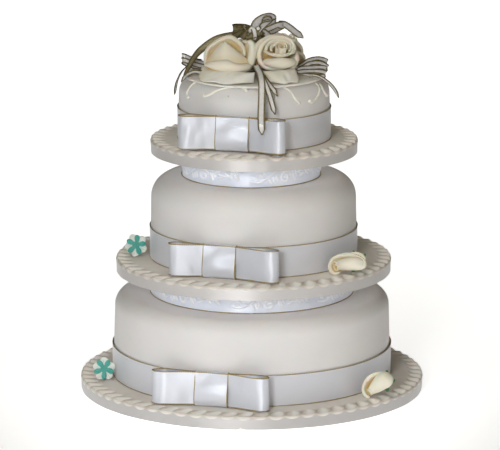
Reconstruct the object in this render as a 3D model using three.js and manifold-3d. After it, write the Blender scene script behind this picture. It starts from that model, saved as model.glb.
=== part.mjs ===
// A three-tier iced wedding cake on three iced drum boards, with two embossed
// separators, satin ribbon bands and bows, sugar blossoms and rosebuds on the
// boards, and a spray of sugar roses and wired ribbon on a plaque at the top.
//
// Millimetres. +Z is up, the front faces -Y, and the origin is under the middle
// of the bottom board. An azimuth is in degrees round the cake, 0 at the front
// and growing towards +X.

import * as THREE from 'three';
import { mergeVertices } from 'three/addons/utils/BufferGeometryUtils.js';
import Module from 'manifold-3d';

const wasm = await Module();
wasm.setup();

// ---------------------------------------------------------------- dimensions

const GAP = 0.3;               // between pieces that touch

const BOARD_HEIGHT = 16;       // a drum board with its icing
const BOARD_EDGE = 13;         // height of the satin trim round a board
const CRIMP_LENGTH = 15;       // radial length of the crimped rim
const CRIMP_RISE = 1.2;        // ridge above the flat icing
const CRIMP_DEPTH = 1.6;       // groove below the flat icing
const CRIMP_SLANT = 0.12;      // share of a crimp that a ridge leans by
const SCALLOP_OUT = 0.3;       // a ridge's outer end, beyond the board's trim
const SCALLOP_IN = 1.6;        // a groove's outer end, inside it
const RIM_ROUND = 4.5;         // from the outer edge in to the top of the rim

const RIBBON_THICKNESS = 0.6;
const BAND_WIDTH = 34;         // satin band round a tier
const WRAP_LENGTH = 37;        // middle wrap of a bow, along the bow

// Each level is a board with a tier on it. The taper is how much narrower the
// tier is where its rounded shoulder begins, and levels sit a little off centre.
// A bow reaches its two distances to the left and right of its middle, and its
// ribbon is as wide as the loops are high.
const LEVELS = [
  {
    name: 'bottom', offset: 0, boardRadius: 190.5, crimps: 68,
    tierRadius: 154.6, tierHeight: 92.6, taper: 2, shoulder: 15, sides: 52,
    bowAzimuth: -15.8, bowReach: [66, 65], bowWidth: 36, bowLift: 0.3,
  },
  {
    name: 'middle', offset: 2, boardRadius: 152.4, crimps: 54,
    tierRadius: 114.6, tierHeight: 91.3, taper: 1, shoulder: 24, sides: 48,
    bowAzimuth: -18, bowReach: [57, 68], bowWidth: 34.5, bowLift: 0.3,
  },
  {
    name: 'top', offset: 2.6, boardRadius: 114.3, crimps: 45,
    tierRadius: 84.2, tierHeight: 67.6, taper: 1, shoulder: 18, sides: 40,
    bowAzimuth: -15.4, bowReach: [60, 60], bowWidth: 36, bowLift: 1.3,
  },
];

const SEPARATORS = [
  { name: 'lower', radius: 113.6, height: 23.5, offset: 0 },
  { name: 'upper', radius: 77.4, height: 25.5, offset: -0.7 },
];

const PLAQUE_RADIUS = 77;
const PLAQUE_THICKNESS = 2.5;
const PLAQUE_SIDES = 32;

const PETAL_THICKNESS = 1.8;   // sugar roses and buds
const BLOSSOM_THICKNESS = 1.6;
const LEAF_THICKNESS = 1.2;

// Azimuth, distance from the axis and height above the board; for a blossom also
// its turn about its own axis.
const BLOSSOMS = { bottom: [-75.3, 168.5, 12.6, -8], middle: [-86, 130, 12.6, 17] };
const ROSEBUDS = { bottom: [57, 179, 10], middle: [55.5, 140, 10] };

const SPRAY_RIBBON_WIDTH = 7.5;
const SPRAY_RIBBON_THICKNESS = 0.8;

// ----------------------------------------------------------------- materials

const icing = new THREE.MeshStandardMaterial({ color: 0xdedad6, roughness: 0.55, metalness: 0 });
const boardIcing = new THREE.MeshStandardMaterial({ color: 0xd2cbc2, roughness: 0.6, metalness: 0 });
const satin = new THREE.MeshStandardMaterial({ color: 0xe2e4ec, roughness: 0.35, metalness: 0 });
const pearlBand = new THREE.MeshStandardMaterial({ color: 0xd9dce6, roughness: 0.4, metalness: 0 });
const ivorySugar = new THREE.MeshStandardMaterial({ color: 0xe6e0cf, roughness: 0.5, metalness: 0 });
const whiteSugar = new THREE.MeshStandardMaterial({ color: 0xe4e3dc, roughness: 0.5, metalness: 0 });
const mintSugar = new THREE.MeshStandardMaterial({ color: 0x5bb0a0, roughness: 0.55, metalness: 0 });
const greenSugar = new THREE.MeshStandardMaterial({ color: 0x3f8f68, roughness: 0.6, metalness: 0 });
const wiredRibbon = new THREE.MeshStandardMaterial({ color: 0xbab8b8, roughness: 0.35, metalness: 0.3 });

// ------------------------------------------------------------------- helpers

const UP = new THREE.Vector3(0, 0, 1);
const MERGE_DISTANCE = 1e-4;
const SLOPE_STEP = 1e-3;

function radians(degrees) {
  return THREE.MathUtils.degToRad(degrees);
}

// The point at an azimuth, a distance from the axis and a height.
function polar(azimuth, radius, height) {
  const a = radians(azimuth);
  return new THREE.Vector3(radius * Math.sin(a), -radius * Math.cos(a), height);
}

function mesh(name, geometry, material) {
  const piece = new THREE.Mesh(geometry, material);
  piece.name = name;
  return piece;
}

function geometryFrom(points, triangles) {
  const geometry = new THREE.BufferGeometry();
  const coordinates = points.flatMap((p) => [p.x, p.y, p.z]);
  geometry.setAttribute('position', new THREE.Float32BufferAttribute(coordinates, 3));
  geometry.setIndex(triangles);
  return geometry;
}

function solidFrom(geometry) {
  const bare = geometry.clone();
  bare.deleteAttribute('normal');
  bare.deleteAttribute('uv');
  const merged = mergeVertices(bare, MERGE_DISTANCE);
  return new wasm.Manifold(new wasm.Mesh({
    numProp: 3,
    vertProperties: new Float32Array(merged.attributes.position.array),
    triVerts: new Uint32Array(merged.index.array),
  }));
}

// One geometry from several closed ones that overlap: its outer skin, with the
// pockets sealed between them filled and slivers up to the tolerance removed.
function joined(geometries, tolerance) {
  const solid = geometries.map(solidFrom).reduce((all, next) => all.add(next));
  const shells = solid.simplify(tolerance).decompose();
  const result = shells.sort((a, b) => b.volume() - a.volume())[0].getMesh();
  const geometry = new THREE.BufferGeometry();
  geometry.setAttribute('position', new THREE.BufferAttribute(result.vertProperties, 3));
  geometry.setIndex(new THREE.BufferAttribute(result.triVerts, 1));
  return geometry;
}

// A profile of [radius, height] points turned about Z. A closed profile that
// stays off the axis gives a ring.
function turned(profile, sides) {
  const points = profile.map(([radius, height]) => new THREE.Vector2(radius, height));
  return new THREE.LatheGeometry(points, sides).rotateX(Math.PI / 2);
}

function ring(inner, outer, bottom, top, sides) {
  const profile = [[inner, bottom], [outer, bottom], [outer, top], [inner, top], [inner, bottom]];
  return turned(profile, sides);
}

// A thin closed sheet over the surface point(u, v), u and v from 0 to 1.
function sheet(columns, rows, thickness, point) {
  const points = [];
  const slope = (along, u, v) => {
    const [du, dv] = along === 'u' ? [SLOPE_STEP, 0] : [0, SLOPE_STEP];
    const ahead = point(Math.min(u + du, 1), Math.min(v + dv, 1));
    return ahead.sub(point(Math.max(u - du, 0), Math.max(v - dv, 0)));
  };
  for (const side of [1, -1]) {
    for (let j = 0; j <= rows; j++) {
      for (let i = 0; i <= columns; i++) {
        const u = i / columns;
        const v = j / rows;
        const normal = slope('u', u, v).cross(slope('v', u, v)).normalize();
        points.push(point(u, v).addScaledVector(normal, (side * thickness) / 2));
      }
    }
  }
  const front = (i, j) => j * (columns + 1) + i;
  const back = (i, j) => (rows + 1) * (columns + 1) + front(i, j);
  const triangles = [];
  for (let j = 0; j < rows; j++) {
    for (let i = 0; i < columns; i++) {
      triangles.push(front(i, j), front(i + 1, j), front(i + 1, j + 1));
      triangles.push(front(i, j), front(i + 1, j + 1), front(i, j + 1));
      triangles.push(back(i, j), back(i + 1, j + 1), back(i + 1, j));
      triangles.push(back(i, j), back(i, j + 1), back(i + 1, j + 1));
    }
  }
  const rim = [];
  for (let i = 0; i < columns; i++) rim.push([i, 0]);
  for (let j = 0; j < rows; j++) rim.push([columns, j]);
  for (let i = columns; i > 0; i--) rim.push([i, rows]);
  for (let j = rows; j > 0; j--) rim.push([0, j]);
  rim.forEach((from, k) => {
    const to = rim[(k + 1) % rim.length];
    triangles.push(front(...from), back(...from), front(...to));
    triangles.push(front(...to), back(...from), back(...to));
  });
  return geometryFrom(points, triangles);
}

// Points the local +Z of a piece along an azimuth and an elevation.
function aim(piece, azimuth, elevation) {
  const e = radians(elevation);
  const direction = polar(azimuth, Math.cos(e), Math.sin(e));
  piece.quaternion.setFromUnitVectors(UP, direction);
  return piece;
}

// -------------------------------------------------------------------- boards

// The triangles between two rings of point numbers, the upper one with as many
// points as the lower, twice as many or half as many.
function stitched(lower, upper) {
  const low = (i) => lower[i % lower.length];
  const high = (i) => upper[i % upper.length];
  const triangles = [];
  for (let i = 0; i < Math.min(lower.length, upper.length); i++) {
    if (lower.length === upper.length) {
      triangles.push(low(i), low(i + 1), high(i + 1), low(i), high(i + 1), high(i));
    } else if (lower.length < upper.length) {
      triangles.push(low(i), high(2 * i + 1), high(2 * i), low(i), low(i + 1), high(2 * i + 1));
      triangles.push(low(i + 1), high(2 * i + 2), high(2 * i + 1));
    } else {
      triangles.push(high(i), low(2 * i), low(2 * i + 1), high(i), low(2 * i + 1), high(i + 1));
      triangles.push(high(i + 1), low(2 * i + 1), low(2 * i + 2));
    }
  }
  return triangles;
}

// A drum board under its icing. The rim is crimped by hand into slanted ridges:
// on the two crimped rings a ridge point and a groove point take turns.
function boardGeometry({ boardRadius, crimps }) {
  const body = boardRadius - RIBBON_THICKNESS - GAP;
  const overhang = BOARD_EDGE + GAP;
  const shift = (360 / crimps) * CRIMP_SLANT;
  const points = [];
  const ringOf = (count, lean, at) => Array.from({ length: count }, (_, i) => {
    const [radius, height] = at(i % 2 === 0);
    points.push(polar((360 * i) / count + lean, radius, height));
    return points.length - 1;
  });
  const rings = [
    ringOf(crimps, 0, () => [body, 0]),
    ringOf(crimps, 0, () => [body, overhang]),
    ringOf(2 * crimps, 0, (ridge) => [
      boardRadius + (ridge ? SCALLOP_OUT : -SCALLOP_IN), overhang + GAP,
    ]),
    ringOf(2 * crimps, shift, (ridge) => [
      boardRadius - RIM_ROUND, BOARD_HEIGHT + (ridge ? CRIMP_RISE : -CRIMP_DEPTH),
    ]),
    ringOf(crimps, shift, () => [boardRadius - CRIMP_LENGTH, BOARD_HEIGHT]),
  ];
  const [under, top] = [points.length, points.length + 1];
  points.push(new THREE.Vector3(0, 0, 0), new THREE.Vector3(0, 0, BOARD_HEIGHT));

  const triangles = rings.slice(1).flatMap((ring, k) => stitched(rings[k], ring));
  for (let i = 0; i < crimps; i++) {
    const next = (i + 1) % crimps;
    triangles.push(under, rings[0][next], rings[0][i], top, rings.at(-1)[i], rings.at(-1)[next]);
  }
  return geometryFrom(points, triangles);
}

// --------------------------------------------------------------------- tiers

// The [radius, height] of a tier's side, from its foot to the edge of its top.
function tierSide({ tierRadius, tierHeight, taper, shoulder }) {
  const wall = tierRadius - taper;
  const arc = [0, 30, 60, 90].map((degrees) => [
    wall - shoulder * (1 - Math.cos(radians(degrees))),
    tierHeight - shoulder * (1 - Math.sin(radians(degrees))),
  ]);
  return [[tierRadius, 0], ...arc];
}

function tierGeometry(level) {
  const profile = [[0, 0], ...tierSide(level), [0, level.tierHeight]];
  return turned(profile, level.sides);
}

// The radius of a tier's side at a height, for what is piped on it.
function sideRadius(level, height) {
  const side = tierSide(level);
  const k = Math.max(1, side.findIndex(([, h]) => h >= height));
  const [[r0, h0], [r1, h1]] = [side[k - 1], side[k]];
  return r0 + ((r1 - r0) * (height - h0)) / (h1 - h0);
}

// -------------------------------------------------------------- piped scrolls

const PIPING_RADIUS = 1.1;
const PIPING_END_RADIUS = 1.9;
const PIPING_TOLERANCE = 0.1;

// Strokes of royal icing on the top tier, as [azimuth, height] from their start
// under the plaque to the bead that ends them. Some are repeated behind.
const STROKES = [
  [[-53, 65], [-61, 61], [-64, 55], [-60, 49]],
  [[-9, 65], [-20, 63], [-31, 60], [-41, 59]],
  [[-25, 60], [-22.5, 62.5], [-20, 60], [-22, 57]],
  [[20, 65], [26, 63], [31, 59], [38, 48]],
  [[46, 65], [56, 63], [59, 57], [55, 50], [48, 48], [46, 53]],
  [[62, 63], [65, 58], [68, 51], [73, 53]],
];
const BACK_STROKES = [0, 1, 4];

function pipingGeometries(level) {
  const section = new THREE.Shape();
  section.absarc(0, 0, PIPING_RADIUS, 0, 2 * Math.PI);
  const behind = BACK_STROKES.map((k) => STROKES[k].map(([azimuth, z]) => [azimuth + 180, z]));
  return [...STROKES, ...behind].flatMap((stroke) => {
    const route = stroke.map(([azimuth, z]) => polar(azimuth, sideRadius(level, z), z));
    const extrudePath = new THREE.CatmullRomCurve3(route);
    const line = new THREE.ExtrudeGeometry(section, { steps: 4, curveSegments: 2, extrudePath });
    const bead = new THREE.OctahedronGeometry(PIPING_END_RADIUS);
    return [line, bead.translate(...route.at(-1))];
  });
}

// ---------------------------------------------------------------------- bows

// Half of the outline of a bow's loops seen from above, as [along, outward] from
// its middle: under the wrap the front lies on the back, and a loop opens from it.
// It is drawn for one reach and stretched beyond the wrap for another.
const LOOP_FRONT = [[0, 4.2], [18.5, 4.6], [30, 7.5], [42, 11.5], [54, 15.2]];
const LOOP_END = [[61, 13.8], [65, 8], [61.5, 1.8]];
const LOOP_BACK = [[52, -1.2], [40, 0], [28, 1.3], [18.5, 1.8], [0, 1.6]];
const LOOP_REACH = 65;
const LOOP_POINTS = 26;
const WRAP_OUTLINE = [[0.6, 0], [5.6, 0], [7.4, 0.2], [7.9, 0.6], [7, 0.88], [5.9, 1], [0.6, 1]];

// Points on a smooth closed curve through the given ones.
function smoothed(points, count) {
  const middle = points.map(([x, y]) => new THREE.Vector3(x, y, 0));
  const curve = new THREE.CatmullRomCurve3(middle, true, 'centripetal');
  return curve.getPoints(count).slice(1).map(({ x, y }) => [x, y]);
}

// A closed outline moved outward by a distance, with its corners kept sharp.
function offsetOutline(points, distance) {
  return points.map((here, i) => {
    const [p, before, after] = [here, points.at(i - 1), points[(i + 1) % points.length]]
      .map(([x, y]) => new THREE.Vector2(x, y));
    const arriving = p.clone().sub(before).normalize();
    const leaving = after.sub(p).normalize();
    const along = arriving.add(leaving).normalize();
    const length = distance / along.dot(leaving);
    return p.add(new THREE.Vector2(along.y, -along.x).multiplyScalar(length));
  });
}

// A closed band whose middle follows the points, as a shape with a hole.
function bandShape(points, thickness) {
  const shape = new THREE.Shape(offsetOutline(points, thickness / 2));
  shape.holes.push(new THREE.Path(offsetOutline(points, -thickness / 2)));
  return shape;
}

function bow({ name, tierRadius, bowAzimuth, bowReach, bowWidth, bowLift }) {
  const [toLeft, toRight] = bowReach;
  const half = [...LOOP_FRONT, ...LOOP_END, ...LOOP_BACK];
  const placed = (reach) => ([along, outward]) => {
    const share = (reach - WRAP_LENGTH / 2) / (LOOP_REACH - WRAP_LENGTH / 2);
    const beyond = Math.max(0, along - WRAP_LENGTH / 2);
    return [along - beyond + beyond * share, -outward];
  };
  const right = half.map(placed(toRight));
  const left = half.slice(1, -1).reverse().map(placed(toLeft)).map(([x, y]) => [-x, y]);
  const loops = new THREE.ExtrudeGeometry(
    bandShape(smoothed([...right, ...left], LOOP_POINTS), RIBBON_THICKNESS),
    { depth: bowWidth, bevelEnabled: false },
  );
  loops.translate(0, 0, bowLift + RIBBON_THICKNESS + GAP);

  const low = bowLift + RIBBON_THICKNESS / 2;
  const height = bowWidth + 2 * (GAP + RIBBON_THICKNESS / 2);
  const wrapOutline = WRAP_OUTLINE.map(([outward, share]) => [outward, low + share * height]);
  const wrapShape = bandShape(wrapOutline, RIBBON_THICKNESS);
  const wrap = new THREE.ExtrudeGeometry(wrapShape, { depth: WRAP_LENGTH, bevelEnabled: false });
  wrap.translate(0, 0, -WRAP_LENGTH / 2).rotateX(Math.PI / 2).rotateZ(-Math.PI / 2);

  const group = new THREE.Group();
  group.add(mesh(`bow_loops_${name}`, loops, satin));
  group.add(mesh(`bow_wrap_${name}`, wrap, satin));
  group.position.y = -(tierRadius + GAP + RIBBON_THICKNESS);
  const turn = new THREE.Group();
  turn.rotation.z = radians(bowAzimuth);
  turn.add(group);
  return turn;
}

// ------------------------------------------------------------------- flowers

// A small cut flower: a lobed disc, cupped towards +Z. Each petal's outline is a
// list of radii from its tip round to the tip of the next.
const ROUND_PETAL = [1, 0.9, 0.55, 0.9];
const STAR_PETAL = [1, 0.94, 0.62, 0.42, 0.62, 0.94];
const SEPAL = [1, 0.36, 0.36];
const PETALS = 5;
const HALF_PETAL_TURN = 180 / PETALS;

function flowerGeometry({ radius, outline, cup, thickness }) {
  const count = PETALS * outline.length;
  const points = [];
  for (const back of [0, thickness]) {
    points.push(new THREE.Vector3(0, 0, -back));
    for (let i = 0; i < count; i++) {
      const reach = outline[i % outline.length];
      points.push(polar((360 * i) / count, radius * reach, cup * reach - back));
    }
  }
  const half = 1 + count;
  const triangles = [];
  for (let i = 0; i < count; i++) {
    const a = 1 + i;
    const b = 1 + ((i + 1) % count);
    triangles.push(0, a, b, half, half + b, half + a);
    triangles.push(a, half + a, half + b, a, half + b, b);
  }
  return geometryFrom(points, triangles);
}

const WHITE_BLOSSOM = { radius: 13, outline: ROUND_PETAL, cup: 2.5, thickness: BLOSSOM_THICKNESS };
const MINT_BLOSSOM = { radius: 11.5, outline: STAR_PETAL, cup: 2, thickness: BLOSSOM_THICKNESS };
const BLOSSOM_LIFT = 2.4;
const BLOSSOM_AIM = [-12, 14];

// A mint star blossom on a white one, standing on the board against the tier.
function blossom(level, azimuth, distance, height, turn) {
  const white = flowerGeometry(WHITE_BLOSSOM).rotateZ(radians(turn + HALF_PETAL_TURN));
  const mint = flowerGeometry(MINT_BLOSSOM).rotateZ(radians(turn)).translate(0, 0, BLOSSOM_LIFT);
  const group = new THREE.Group();
  group.add(mesh(`blossom_white_${level.name}`, white, whiteSugar));
  group.add(mesh(`blossom_mint_${level.name}`, mint, mintSugar));
  group.position.copy(polar(azimuth, distance, height));
  return aim(group, ...BLOSSOM_AIM);
}

// A petal rolled round itself, from its narrow heel to its open lip at +Z. The
// shares are of its radius at the heel and at the inner end of the roll. It swells
// to its full width before the lip, which rises by a share of its length.
const ROLL_HEEL = 0.24;
const ROLL_INNER = 0.34;
const ROLL_SWELL = 1.5;
const ROLL_SWELL_START = 0.1;
const ROLL_LIP = 0.1;

function rolledPetal({ length, radius, turns, columns, rows }) {
  const between = (low, share) => low + (1 - low) * share;
  return sheet(columns, rows, PETAL_THICKNESS, (u, v) => {
    const swollen = Math.min(1, ROLL_SWELL_START + ROLL_SWELL * v);
    const belly = between(ROLL_HEEL, Math.sin((Math.PI / 2) * swollen));
    const lip = ROLL_LIP * Math.sin(Math.PI * u);
    const reach = radius * between(ROLL_INNER, u) * belly;
    return polar(360 * turns * u, reach, length * (1 + lip) * v);
  });
}

const BUD_PETAL = { length: 32, radius: 15.5, turns: 1.35, columns: 13, rows: 3 };
const BUD_SEPALS = { radius: 10.5, outline: SEPAL, cup: 4, thickness: LEAF_THICKNESS };
const SEPAL_DROP = 2.9;
const BUD_AIM = [-42, 11];

// A half-open rosebud lying on the board, with green sepals behind its heel.
function rosebud(level, azimuth, distance, height) {
  const sepals = flowerGeometry(BUD_SEPALS).rotateZ(radians(HALF_PETAL_TURN));
  sepals.translate(0, 0, -SEPAL_DROP);
  const group = new THREE.Group();
  group.add(mesh(`rosebud_${level.name}`, rolledPetal(BUD_PETAL), ivorySugar));
  group.add(mesh(`rosebud_sepals_${level.name}`, sepals, greenSugar));
  group.position.copy(polar(azimuth, distance, height));
  return aim(group, ...BUD_AIM);
}

// -------------------------------------------------------------- sugar roses

const ROSE_TOLERANCE = 0.3;
const PETAL_FOOT = 2;

// The rolled middle, the whorls of petals and the solid heart they grow from.
// Sizes are shares of the rose's radius, and angles are in degrees.
const ROSE_HEEL = -0.78;
const ROSE_MIDDLE_RADIUS = 0.3;
const ROSE_MIDDLE_LENGTH = 1.35;
const ROSE_MIDDLE_TURNS = 1.2;
const ROSE_HEART = [
  [0, -0.83], [0.35, -0.76], [0.66, -0.44], [0.56, -0.12], [0.3, 0.08], [0, 0.08],
];
const ROSE_HEART_SIDES = 7;
const ROSE_WHORLS = [
  { spread: 66, reach: 0.5, rise: 0.6, curl: 0.05, start: 20 },
  { spread: 58, reach: 0.84, rise: 0.3, curl: 0.14, start: 75 },
];

const PETAL_NARROW = 0.4;      // share of its spread that a petal has at the heel
const PETAL_SWELL = 1.4;       // how soon it reaches its full spread
const LIP_FALL = 0.5;          // share of its curl that the lip falls by
const SIDE_FALL = 0.2;         // share of its reach that its sides fall by

// One petal about +Z: it bowls out from the heel to its reach, and its lip curls
// outward and falls away at both sides.
function rosePetal(radius, turn, { spread, reach, rise, curl }) {
  return sheet(3, 2, PETAL_THICKNESS, (u, v) => {
    const across = 2 * u - 1;
    const quarter = (Math.PI / 2) * v;
    const opened = Math.sin(Math.min(Math.PI / 2, PETAL_SWELL * quarter));
    const width = PETAL_NARROW + (1 - PETAL_NARROW) * opened;
    const spreading = PETAL_FOOT + (reach * radius - PETAL_FOOT) * Math.sin(quarter);
    const bowl = (rise - ROSE_HEEL) * (1 - Math.cos(quarter));
    const fall = LIP_FALL * curl * v ** 6 + SIDE_FALL * reach * v * across ** 2;
    const out = spreading + curl * radius * v ** 4;
    return polar(turn + across * spread * width, out, radius * (ROSE_HEEL + bowl - fall));
  });
}

function roseGeometry(radius, counts) {
  const middle = rolledPetal({
    length: ROSE_MIDDLE_LENGTH * radius,
    radius: ROSE_MIDDLE_RADIUS * radius,
    turns: ROSE_MIDDLE_TURNS,
    columns: 7,
    rows: 1,
  });
  const pieces = [middle.translate(0, 0, ROSE_HEEL * radius)];
  ROSE_WHORLS.forEach((whorl, k) => {
    for (let i = 0; i < counts[k]; i++) {
      pieces.push(rosePetal(radius, whorl.start + (360 * i) / counts[k], whorl));
    }
  });
  const heart = ROSE_HEART.map(([share, height]) => [share * radius, height * radius]);
  pieces.push(turned(heart, ROSE_HEART_SIDES));
  return joined(pieces, ROSE_TOLERANCE);
}

const ROSES = [
  { name: 'left', at: [-24.5, -29, 26.5], radius: 30, counts: [3, 4], azimuth: -35, elevation: 60 },
  { name: 'right', at: [23.5, -31, 26], radius: 24.5, counts: [3, 4], azimuth: 18, elevation: 42 },
  { name: 'back', at: [35, 21, 26], radius: 25, counts: [2, 3], azimuth: 125, elevation: 44 },
];

function rose({ name, at, radius, counts, azimuth, elevation }) {
  const piece = mesh(`rose_${name}`, roseGeometry(radius, counts), ivorySugar);
  piece.position.set(...at);
  return aim(piece, azimuth, elevation);
}

// Wide wavy sugar leaves that slope from under the roses down to the plaque.
const LEAVES = [
  { name: 'front_left', azimuth: -33, near: 60, far: 76, width: 58, rise: 7 },
  { name: 'front_right', azimuth: 32, near: 57, far: 75, width: 36, rise: 6 },
  { name: 'back_left', azimuth: -115, near: 36, far: 72, width: 46, rise: 9 },
  { name: 'back_right', azimuth: 165, near: 53, far: 74, width: 44, rise: 6 },
];

const LEAF_WAVE = 1.1;
const LEAF_WAVES = 2.5;        // across its width
const LEAF_REST = 2;
const LEAF_SLOPE = 1.3;
const LEAF_ROUNDING = 0.16;

function leaf({ name, azimuth, near, far, width, rise }) {
  const geometry = sheet(5, 2, LEAF_THICKNESS, (u, v) => {
    const side = 2 * u - 1;
    const out = near + (far - near) * v - LEAF_ROUNDING * width * side ** 2;
    const wave = LEAF_WAVE * Math.sin(2 * Math.PI * LEAF_WAVES * u) * v;
    const up = LEAF_REST + rise * (1 - v) ** LEAF_SLOPE + wave;
    return new THREE.Vector3(side * (width / 2), -out, up);
  });
  const piece = mesh(`leaf_${name}`, geometry, whiteSugar);
  piece.rotation.z = radians(azimuth);
  return piece;
}

// ------------------------------------------------------- ribbon of the spray

const KNOT = [1, -5, 47];
const KNOT_RADIUS = 5;
const STEM_FOOT = [1, 7, 1];
const STEM_RADIUS = 2.5;
const STEM_SIDES = 8;

// A route is a ribbon's middle line above the plaque, and facing gives the
// direction across the ribbon at its start, middle and end.
const SPRAY_RIBBONS = [
  {
    name: 'loop_top',
    route: [
      [1, -9, 54], [3, -12, 60], [9, -12, 66], [17, -10, 68], [23, -7, 64], [18, -5, 56],
      [9, -5, 50],
    ],
    facing: [[-0.8, -0.3, 0.5], [-0.2, -0.85, 0.4], [0.4, -0.8, 0.3]],
  },
  {
    name: 'loop_right',
    route: [[8, -10, 48], [17, -10, 52], [26, -10, 56], [30, -5, 54], [24, 0, 49], [14, -1, 45.5]],
    facing: [[-0.3, -0.5, 0.8], [0, -0.8, 0.6], [0.1, -0.6, 0.8]],
  },
  {
    name: 'tail_right_high',
    route: [[32, 0, 55], [38, -2, 52], [46, -3, 46], [54, -5, 40.5]],
    facing: [[0.2, -0.6, 0.7], [0.2, -0.7, 0.6], [0.2, -0.7, 0.6]],
  },
  {
    name: 'loop_left_high',
    route: [[-6, -11, 48.5], [-8.5, -13, 53], [-10, -9, 56], [-8.5, -4, 56.5], [-6, -3, 51.5]],
    facing: [[-0.5, -0.6, 0.5], [-0.7, -0.2, 0.6], [-0.5, 0.6, 0.5]],
  },
  {
    name: 'loop_left_low',
    route: [[-6, -4, 48], [-14, -7, 50], [-23, -4, 51], [-20, 2, 51], [-9, 3, 50]],
    facing: [[0, -0.4, 0.9], [0, -0.5, 0.9], [0, 0.4, 0.9]],
  },
  {
    name: 'arch_left',
    route: [
      [-4, 9, 45], [-24, 6, 44], [-44, 0, 40.5], [-57, -6, 33], [-66, -13, 23], [-73, -19, 10],
      [-76, -21, 2],
    ],
    facing: [[0, -1, 0], [0.1, -1, 0.1], [0.3, -1, 0]],
  },
  {
    name: 'loop_left_side',
    route: [[-56, -2, 10], [-66, -8, 14], [-77, -9, 19], [-79, -3, 17], [-72, 3, 12], [-58, 5, 9]],
    facing: [[0, -0.3, 0.95], [0.1, 0, 1], [0, 0.3, 0.95]],
  },
  {
    name: 'tail_left_front',
    route: [[-59, -31, 7], [-66, -33, 8], [-74, -33, 4], [-80, -32, -3]],
    facing: [[-0.2, -0.8, 0.5], [-0.2, -0.8, 0.5], [-0.4, -0.8, 0.2]],
  },
  {
    name: 'tail_left_back',
    route: [[-64, 20, 6], [-76, 24, 2], [-85, 24, -12], [-88, 22, -28]],
    facing: [[0, 1, 0], [0.2, 1, 0], [0.3, 1, 0]],
  },
  {
    name: 'tail_front_long',
    route: [
      [2, -58, 15], [4, -74, 12], [6, -84, 5], [7, -91, -8], [7, -99, -22], [7.5, -107, -35],
      [8.5, -109, -47],
    ],
    facing: [[1, 0, 0.1], [1, 0, 0], [1, 0, 0.1]],
  },
  {
    name: 'tail_front_middle',
    route: [[4, -57, 12.5], [8, -77, 7], [14, -86, -3], [19, -89, -16], [22.5, -92, -28]],
    facing: [[1, 0.1, 0.1], [1, 0.2, 0.3], [1, 0.2, 0.3]],
  },
  {
    name: 'tail_front_short',
    route: [[8.5, -55, 8.5], [14.5, -73, 3.6], [20.5, -82.6, -2.2], [25, -85.8, -9]],
    facing: [[1, 0.1, 0.1], [1, 0.3, 0.3], [1, 0.3, 0.3]],
  },
  {
    name: 'loop_right_side',
    route: [[54, -12, 11], [62, -19, 17], [71, -20, 18], [80, -16, 13], [77, -8, 8], [62, -6, 8]],
    facing: [[0, -0.5, 0.85], [0.2, -0.3, 0.9], [0, 0.3, 0.9]],
  },
  {
    name: 'loop_right_low',
    route: [[52, -30, 9.5], [61, -34, 11], [71, -34, 11], [78, -30, 8.5], [75, -25, 4.6], [60, -22, 5]],
    facing: [[0, -0.5, 0.85], [0.2, -0.3, 0.9], [0, 0.3, 0.9]],
  },
  {
    name: 'tail_right_low',
    route: [[60, -43, 6], [70, -43, 5], [80, -41, -1], [87, -39, -10], [92, -38, -20]],
    facing: [[0, -1, 0.4], [0.2, -0.9, 0.4], [0.3, -0.9, 0.2]],
  },
];

function vectors(list) {
  return list.map((values) => new THREE.Vector3(...values));
}

function sprayRibbon({ name, route, facing }) {
  const middle = new THREE.CatmullRomCurve3(vectors(route), false, 'centripetal');
  const across = new THREE.CatmullRomCurve3(vectors(facing));
  const rows = 2 * (route.length - 1);
  const geometry = sheet(1, rows, SPRAY_RIBBON_THICKNESS, (u, v) => {
    const side = across.getPoint(v).normalize();
    return middle.getPoint(v).addScaledVector(side, (u - 0.5) * SPRAY_RIBBON_WIDTH);
  });
  return mesh(`spray_ribbon_${name}`, geometry, wiredRibbon);
}

// The knot is wrapped round the taped stem that holds the wires of the spray.
function knotGeometry() {
  const [foot, knot] = vectors([STEM_FOOT, KNOT]);
  const wrap = new THREE.SphereGeometry(KNOT_RADIUS, STEM_SIDES, 6).translate(...knot);
  const length = foot.distanceTo(knot);
  const stem = new THREE.CylinderGeometry(STEM_RADIUS, STEM_RADIUS, length, STEM_SIDES);
  stem.rotateX(Math.PI / 2).translate(0, 0, length / 2);
  const direction = knot.clone().sub(foot).normalize();
  stem.applyQuaternion(new THREE.Quaternion().setFromUnitVectors(UP, direction));
  return joined([wrap, stem.translate(...foot)], PIPING_TOLERANCE);
}

function spray() {
  const group = new THREE.Group();
  ROSES.forEach((one) => group.add(rose(one)));
  LEAVES.forEach((one) => group.add(leaf(one)));
  SPRAY_RIBBONS.forEach((one) => group.add(sprayRibbon(one)));
  group.add(mesh('spray_knot', knotGeometry(), wiredRibbon));
  return group;
}

// ------------------------------------------------------------------ assembly

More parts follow.
